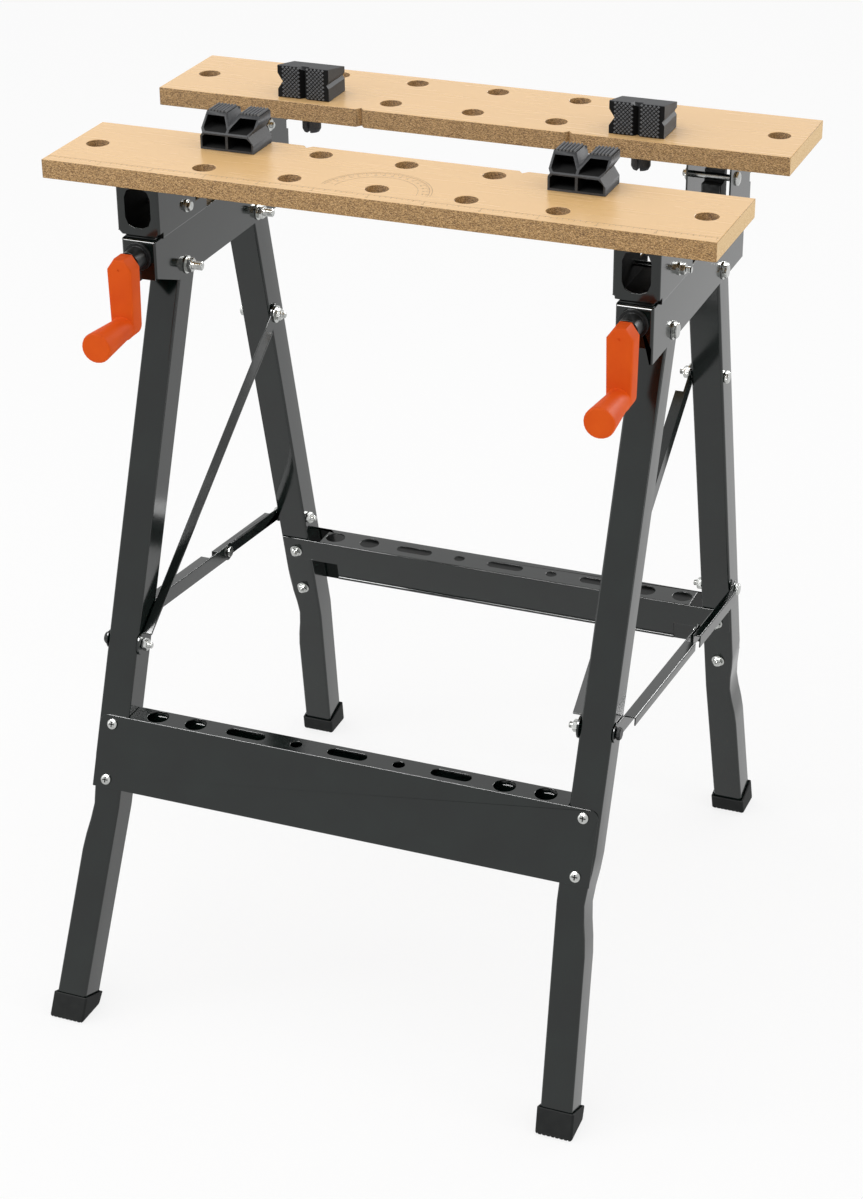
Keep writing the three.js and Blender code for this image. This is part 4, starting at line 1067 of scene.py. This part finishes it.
def ink_ring(radius):
    half = INK_WIDTH / 2
    ends = (DIAL_START, 180 - DIAL_START)
    loop = arc((0, 0), radius + half, *ends, DIAL_STEPS)
    loop += arc((0, 0), radius - half, *reversed(ends), DIAL_STEPS)
    return plate("ring", [loop], -INK_DEPTH, INK_RISE, SHARP, Matrix(), INK)


def ink_number(number, place):
    """A printed number as a thin mesh, its foot in the middle at the place's origin."""
    curve = bpy.data.curves.new("number", "FONT")
    curve.body = str(number)
    curve.size = DIGIT_HEIGHT
    curve.align_x = "CENTER"
    curve.resolution_u = 2
    curve.extrude = INK_RISE
    holder = new_object("number", curve)
    graph = bpy.context.evaluated_depsgraph_get()
    bm = bmesh.new()
    bm.from_mesh(holder.evaluated_get(graph).to_mesh())
    bpy.data.objects.remove(holder)
    bmesh.ops.remove_doubles(bm, verts=bm.verts, dist=WELD)
    bm.transform(place)
    return object_of("number", bm, INK)


def tick_rise(order):
    """Height of a kind of ticks; longer ones stand a little higher than those that they cover."""
    return INK_RISE * (1 + TICK_LIFT * order)


def make_rule():
    """The rule: a line along the board, ticks towards the edge, and numbers in centimetres."""
    parts = [ink_stroke(-RULE_HALF, RULE_HALF)]
    parts[0].data.transform(Matrix.Translation((0, RULE_LINE, 0)) @ Matrix.Rotation(math.pi / 2, 4, "Z"))
    for order, (step, length) in enumerate(RULE_TICKS):
        tick = ink_stroke(-length, -INK_WIDTH / 2, tick_rise(order))
        parts.append(repeat("ticks", ROW, tick, Count=2 * RULE_HALF // step + 1,
                            Start=(-RULE_HALF, RULE_LINE, 0), Step=(step, 0, 0)))
    foot = RULE_LINE - RULE_TICKS[-1][1] - DIGIT_HEIGHT
    for x in range(RULE_NUMBERS - RULE_HALF, RULE_HALF, RULE_NUMBERS):
        parts.append(ink_number((x + RULE_HALF) // 10, Matrix.Translation((x, foot, 0))))
    return parts


def make_dial():
    """The protractor: three rings, ticks inside the outer pair, and numbers in degrees."""
    parts = [ink_ring(radius) for radius in DIAL_RINGS]
    inner = DIAL_RINGS[1] - INK_WIDTH / 2
    for order, (step, length) in enumerate(DIAL_TICKS):
        tick = ink_stroke(inner - length, inner, tick_rise(order))
        parts.append(repeat("ticks", FAN, tick, Count=180 // step - 1, Start=math.radians(step - 90),
                            Turn=math.radians(step)))
    foot = inner - DIAL_TICKS[-1][1] - DIGIT_HEIGHT
    for turn in range(DIAL_NUMBERS - 90, 90, DIAL_NUMBERS):
        place = Matrix.Rotation(math.radians(turn), 4, "Z") @ Matrix.Translation((0, foot, 0))
        parts.append(ink_number(90 - abs(turn), place))
    for part in parts:
        part.data.transform(Matrix.Translation((0, DIAL_CENTRE, 0)))
    return parts


def make_print():
    low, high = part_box("front_board")
    made = merge("printed_scale", make_rule() + make_dial())
    made.data.transform(Matrix.Translation((0, low.y, high.z)) @ TO_METRES)
    dress(made, "front_board", extra=True)


# Brackets, spindles, nuts and hem


def cut_plate(made, node, side, inner, window):
    """Cuts a window into a bracket's inner or outer plate, given from its front edge and its top."""
    low, high = box_in_mm(node)
    near, far, above, below = window
    x = low.x if (side > 0) == inner else high.x
    corners = rectangle(x - PLATE_CUT, x + PLATE_CUT, low.y + near, low.y + far)
    boolean(made, prism("window", corners, high.z - below, high.z - above, TO_METRES, ENAMEL))


def darken_inside(made, node):
    """Paints shade on the walls inside a bracket, as a matt near-black coat."""
    low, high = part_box(node)
    made.data.materials.append(INNER_SHADE)
    for face in made.data.polygons:
        depth = min(min(face.center[i] - low[i], high[i] - face.center[i]) for i in (0, 2))
        if min(depth, face.center.y - low.y) > BRACKET_SKIN:
            face.material_index = len(made.data.materials) - 1


def make_plate_bolt(name, side):
    """A flanged bolt through both plates of a front bracket, with its head on the inner one."""
    node = f"front_bracket_{name}"
    low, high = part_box(node)
    behind, below = PLATE_BOLT
    inner = low.x if side > 0 else high.x
    place = axis_frame((inner, low.y + behind * MM, high.z - below * MM), (side, 0, 0))
    width = (high.x - low.x) / MM
    (rim, flange), (head, head_radius) = PLATE_BOLT_RIM, PLATE_BOLT_HEAD
    (nut, nut_radius), (tip, tip_radius) = PLATE_BOLT_NUT, PLATE_BOLT_TIP
    stations = hexagon(-head, -rim, head_radius) + disc(-rim, rim, flange) + disc(0, width, PLATE_BOLT_SHANK)
    stations += disc(width, rim, flange) + hexagon(width + rim, width + nut, nut_radius)
    stations += threads(width + nut, width + tip, tip_radius)
    made = smooth(turned(f"plate_bolt_{name}", place, stations, ZINC), "turned")
    dress(made, node, extra=True)


def make_bracket(pair, name, side):
    """A bracket: the front ones have a slot and painted shade inside, and the rear ones a notch in both
    plates.
    """
    node = f"{pair}_bracket_{name}"
    made = softened(node, "steel", ENAMEL, fold=BRACKET_FOLD)
    if pair == "front":
        cut_plate(made, node, side, True, PLATE_SLOT)
        darken_inside(made, node)
    else:
        for inner in (True, False):
            cut_plate(made, node, side, inner, BACK_NOTCH)
    dress(smooth(made), node)


def make_spindle(name):
    """A spindle with its screw thread from the bush to its tail."""
    node = f"spindle_{name}"
    low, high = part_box(node)
    middle = (low + high) / 2
    radius, length = (high.x - low.x) / 2 / MM, (high.y - low.y) / MM
    plain = (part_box(f"spindle_bush_{name}")[1].y - low.y) / MM + SCREW_START
    root = radius - SCREW_ROOT
    place = axis_frame((middle.x, low.y, middle.z), (0, 1, 0))
    stations = disc(0, plain, radius) + [(plain + SCREW_EASE, root), (length - SCREW_EASE, root)]
    stations.append((length, root - SCREW_EASE))
    core = turned("core", place, stations, SPINDLE_STEEL)
    run = length - plain - 2 * SCREW_PITCH
    thread = grow("thread", SPIRAL, Turns=run / SCREW_PITCH, Radius=radius - SCREW_RIDGE, Height=run,
                  Ridge=SCREW_RIDGE, Finish=SPINDLE_STEEL)
    thread.data.transform(place @ TO_METRES @ Matrix.Translation((0, 0, plain + SCREW_PITCH)))
    made = smooth(merge(f"{node}_threaded", [core, thread]), "spindle")
    dress(made, node)


def make_nut(name):
    """The travelling nut, hooked over the jaw pin from behind so that the pin shows in front."""
    node = f"jaw_nut_{name}"
    made = softened(node, "turned", BLACK_STEEL)
    low, high = box_in_mm(node)
    pin = sum(box_in_mm(f"jaw_pin_{name}"), Vector()) / 2
    mouth = rectangle(low.x - SMALL_CLEAR, high.x + SMALL_CLEAR, low.y - SMALL_CLEAR, pin.y)
    boolean(made, prism("mouth", mouth, pin.z - NUT_MOUTH, high.z + SMALL_CLEAR, TO_METRES, BLACK_STEEL))
    dress(smooth(made), node)


def make_hem(node):
    """The rolled lower edge of the rear tray's inner plate."""
    place = leg_frame("rear")
    points = local_points(node, place)
    face = min(p.y for p in points)
    sheet = [p for p in points if p.y < face + NEAR]
    foot = min(p.z for p in sheet)
    ends = [p.x for p in sheet if p.z < foot + NEAR]
    length = (max(ends) - min(ends)) / MM
    along = place @ axis_frame((min(ends), face - HEM_OUT, foot + HEM_UP), (1, 0, 0))
    stations = [(0, HEM_RADIUS - HEM_EASE), (HEM_EASE, HEM_RADIUS), (length - HEM_EASE, HEM_RADIUS),
                (length, HEM_RADIUS - HEM_EASE)]
    made = smooth(turned(f"{node}_hem", along, stations, ENAMEL), "turned")
    dress(made, node, extra=True)


# Stage


def looked_at(tree):
    """1 for rays that look at the backdrop, straight, in a mirror or through glass, and 0 for its light."""
    paths = add(tree, "ShaderNodeLightPath").outputs
    seen = paths["Is Camera Ray"]
    for ray in ("Is Glossy Ray", "Is Transmission Ray"):
        seen = compute(tree, "MAXIMUM", seen, paths[ray])
    return seen


def make_floor_paper():
    """White backdrop paper, washed out by its own light where it is looked at, with a faint shadow left."""
    made, tree, shader, _ = new_material("white_paper", Base_Color=(*[PAPER_WHITE] * 3, 1), Roughness=0.9)
    share = spread(tree, looked_at(tree), 0, PAPER_GLOW)
    glow = add(tree, "ShaderNodeEmission", {"Color": (1, 1, 1, 1), "Strength": 1.0})
    both = add(tree, "ShaderNodeMixShader", {0: share, 1: shader, 2: glow})
    feed(tree, tree.get_output_node("ALL"), "Surface", both)
    return made


def make_lamp(name, place, size, radiance, lights):
    """A soft strip lamp that points at the bench; one that does not light it is only seen in its gloss."""
    lamp = bpy.data.lights.new(name, "AREA")
    lamp.shape = "RECTANGLE"
    lamp.size, lamp.size_y = size
    lamp.energy = radiance * math.pi * size[0] * size[1]
    made = new_object(name, lamp)
    made.matrix_world = axis_frame(place, Vector(place) - VIEW_TARGET)
    made.visible_camera = False
    made.visible_diffuse = lights


def make_stage():
    """A white floor under an even white sky, strip lamps for the edges, and the camera."""
    scene = bpy.context.scene
    scene.view_settings.view_transform = "Standard"
    world = bpy.data.worlds.new("white_room")
    scene.world = world
    world.use_nodes = True
    tree = world.node_tree
    tree.nodes.clear()
    level = spread(tree, looked_at(tree), SKY, 1)
    sky = add(tree, "ShaderNodeBackground", {"Color": (1, 1, 1, 1), "Strength": level})
    add(tree, "ShaderNodeOutputWorld", {"Surface": sky})

    bm = bmesh.new()
    bmesh.ops.create_grid(bm, x_segments=1, y_segments=1, size=FLOOR_HALF)
    floor = object_of("floor", bm, make_floor_paper())
    floor.location.z = -FLOOR_DROP
    for lamp in LAMPS:
        make_lamp(*lamp)
    make_camera(scene)


def make_camera(scene):
    """The camera, fitted to the photo."""
    turns = ((VIEW_AZIMUTH, "Z"), (90 - VIEW_ELEVATION, "X"), (VIEW_ROLL, "Z"))
    azimuth, tilt, roll = (Matrix.Rotation(math.radians(angle), 4, axis) for angle, axis in turns)
    lens = bpy.data.cameras.new("camera")
    lens.sensor_width = SENSOR
    lens.lens = FOCAL_PIXELS * SENSOR / PICTURE_HEIGHT
    camera = new_object("camera", lens)
    stand = Matrix.Translation((0, 0, VIEW_DISTANCE))
    camera.matrix_world = Matrix.Translation(VIEW_TARGET) @ azimuth @ tilt @ roll @ stand
    scene.camera = camera


def make_frame():
    """Everything of steel, with its fittings."""
    for name, side in SIDES.items():
        rounded(f"rail_{name}", "steel", "frame", ENAMEL, fold=RAIL_FOLD)
        for part in ("brace", "stay_front", "stay_rear"):
            rounded(f"{part}_{name}", "steel", "frame", ENAMEL)
        make_plate_bolt(name, side)
        make_spindle(name)
        for pair in GRIPS:
            make_bracket(pair, name, side)
            rounded(f"{pair}_leg_{name}", "tube", "frame", ENAMEL, fold=TUBE_CORNER)
            make_boot(f"{pair}_boot_{name}")
            make_cross_bolt(f"{pair}_pivot_bolt_{name}", side, PIVOT, proud=PIVOT_PROUD, flange=PIVOT_FLANGE)
            for place in ("upper", "lower"):
                make_tray_bolt(f"{pair}_tray_bolt_{place}_{name}", pair)
        make_cross_bolt(f"stay_bolt_front_{name}", side, BOLT, dark=True)
        make_cross_bolt(f"brace_bolt_{name}", side, BOLT, washer=BRACE_WASHER)
        make_cross_bolt(f"stay_bolt_rear_{name}", side, BOLT)
        make_nut(name)
        rounded(f"spindle_bush_{name}", "turned", "nut", BLACK_STEEL)
        make_cross_bolt(f"jaw_pin_{name}", side, JAW_PIN, reach=PIN_REACH, domed=JAW_PIN.across)
        rounded(f"elbow_rivet_{name}", "plated", "zinc", ZINC)
        make_crank(name)
    for pair in GRIPS:
        rounded(f"{pair}_tray", "sheet", "frame", ENAMEL, rim=TRAY_RIM)
    make_hem("rear_tray")


make_stage()
make_board("front")
make_board("rear")
make_frame()
make_dogs()
make_print()
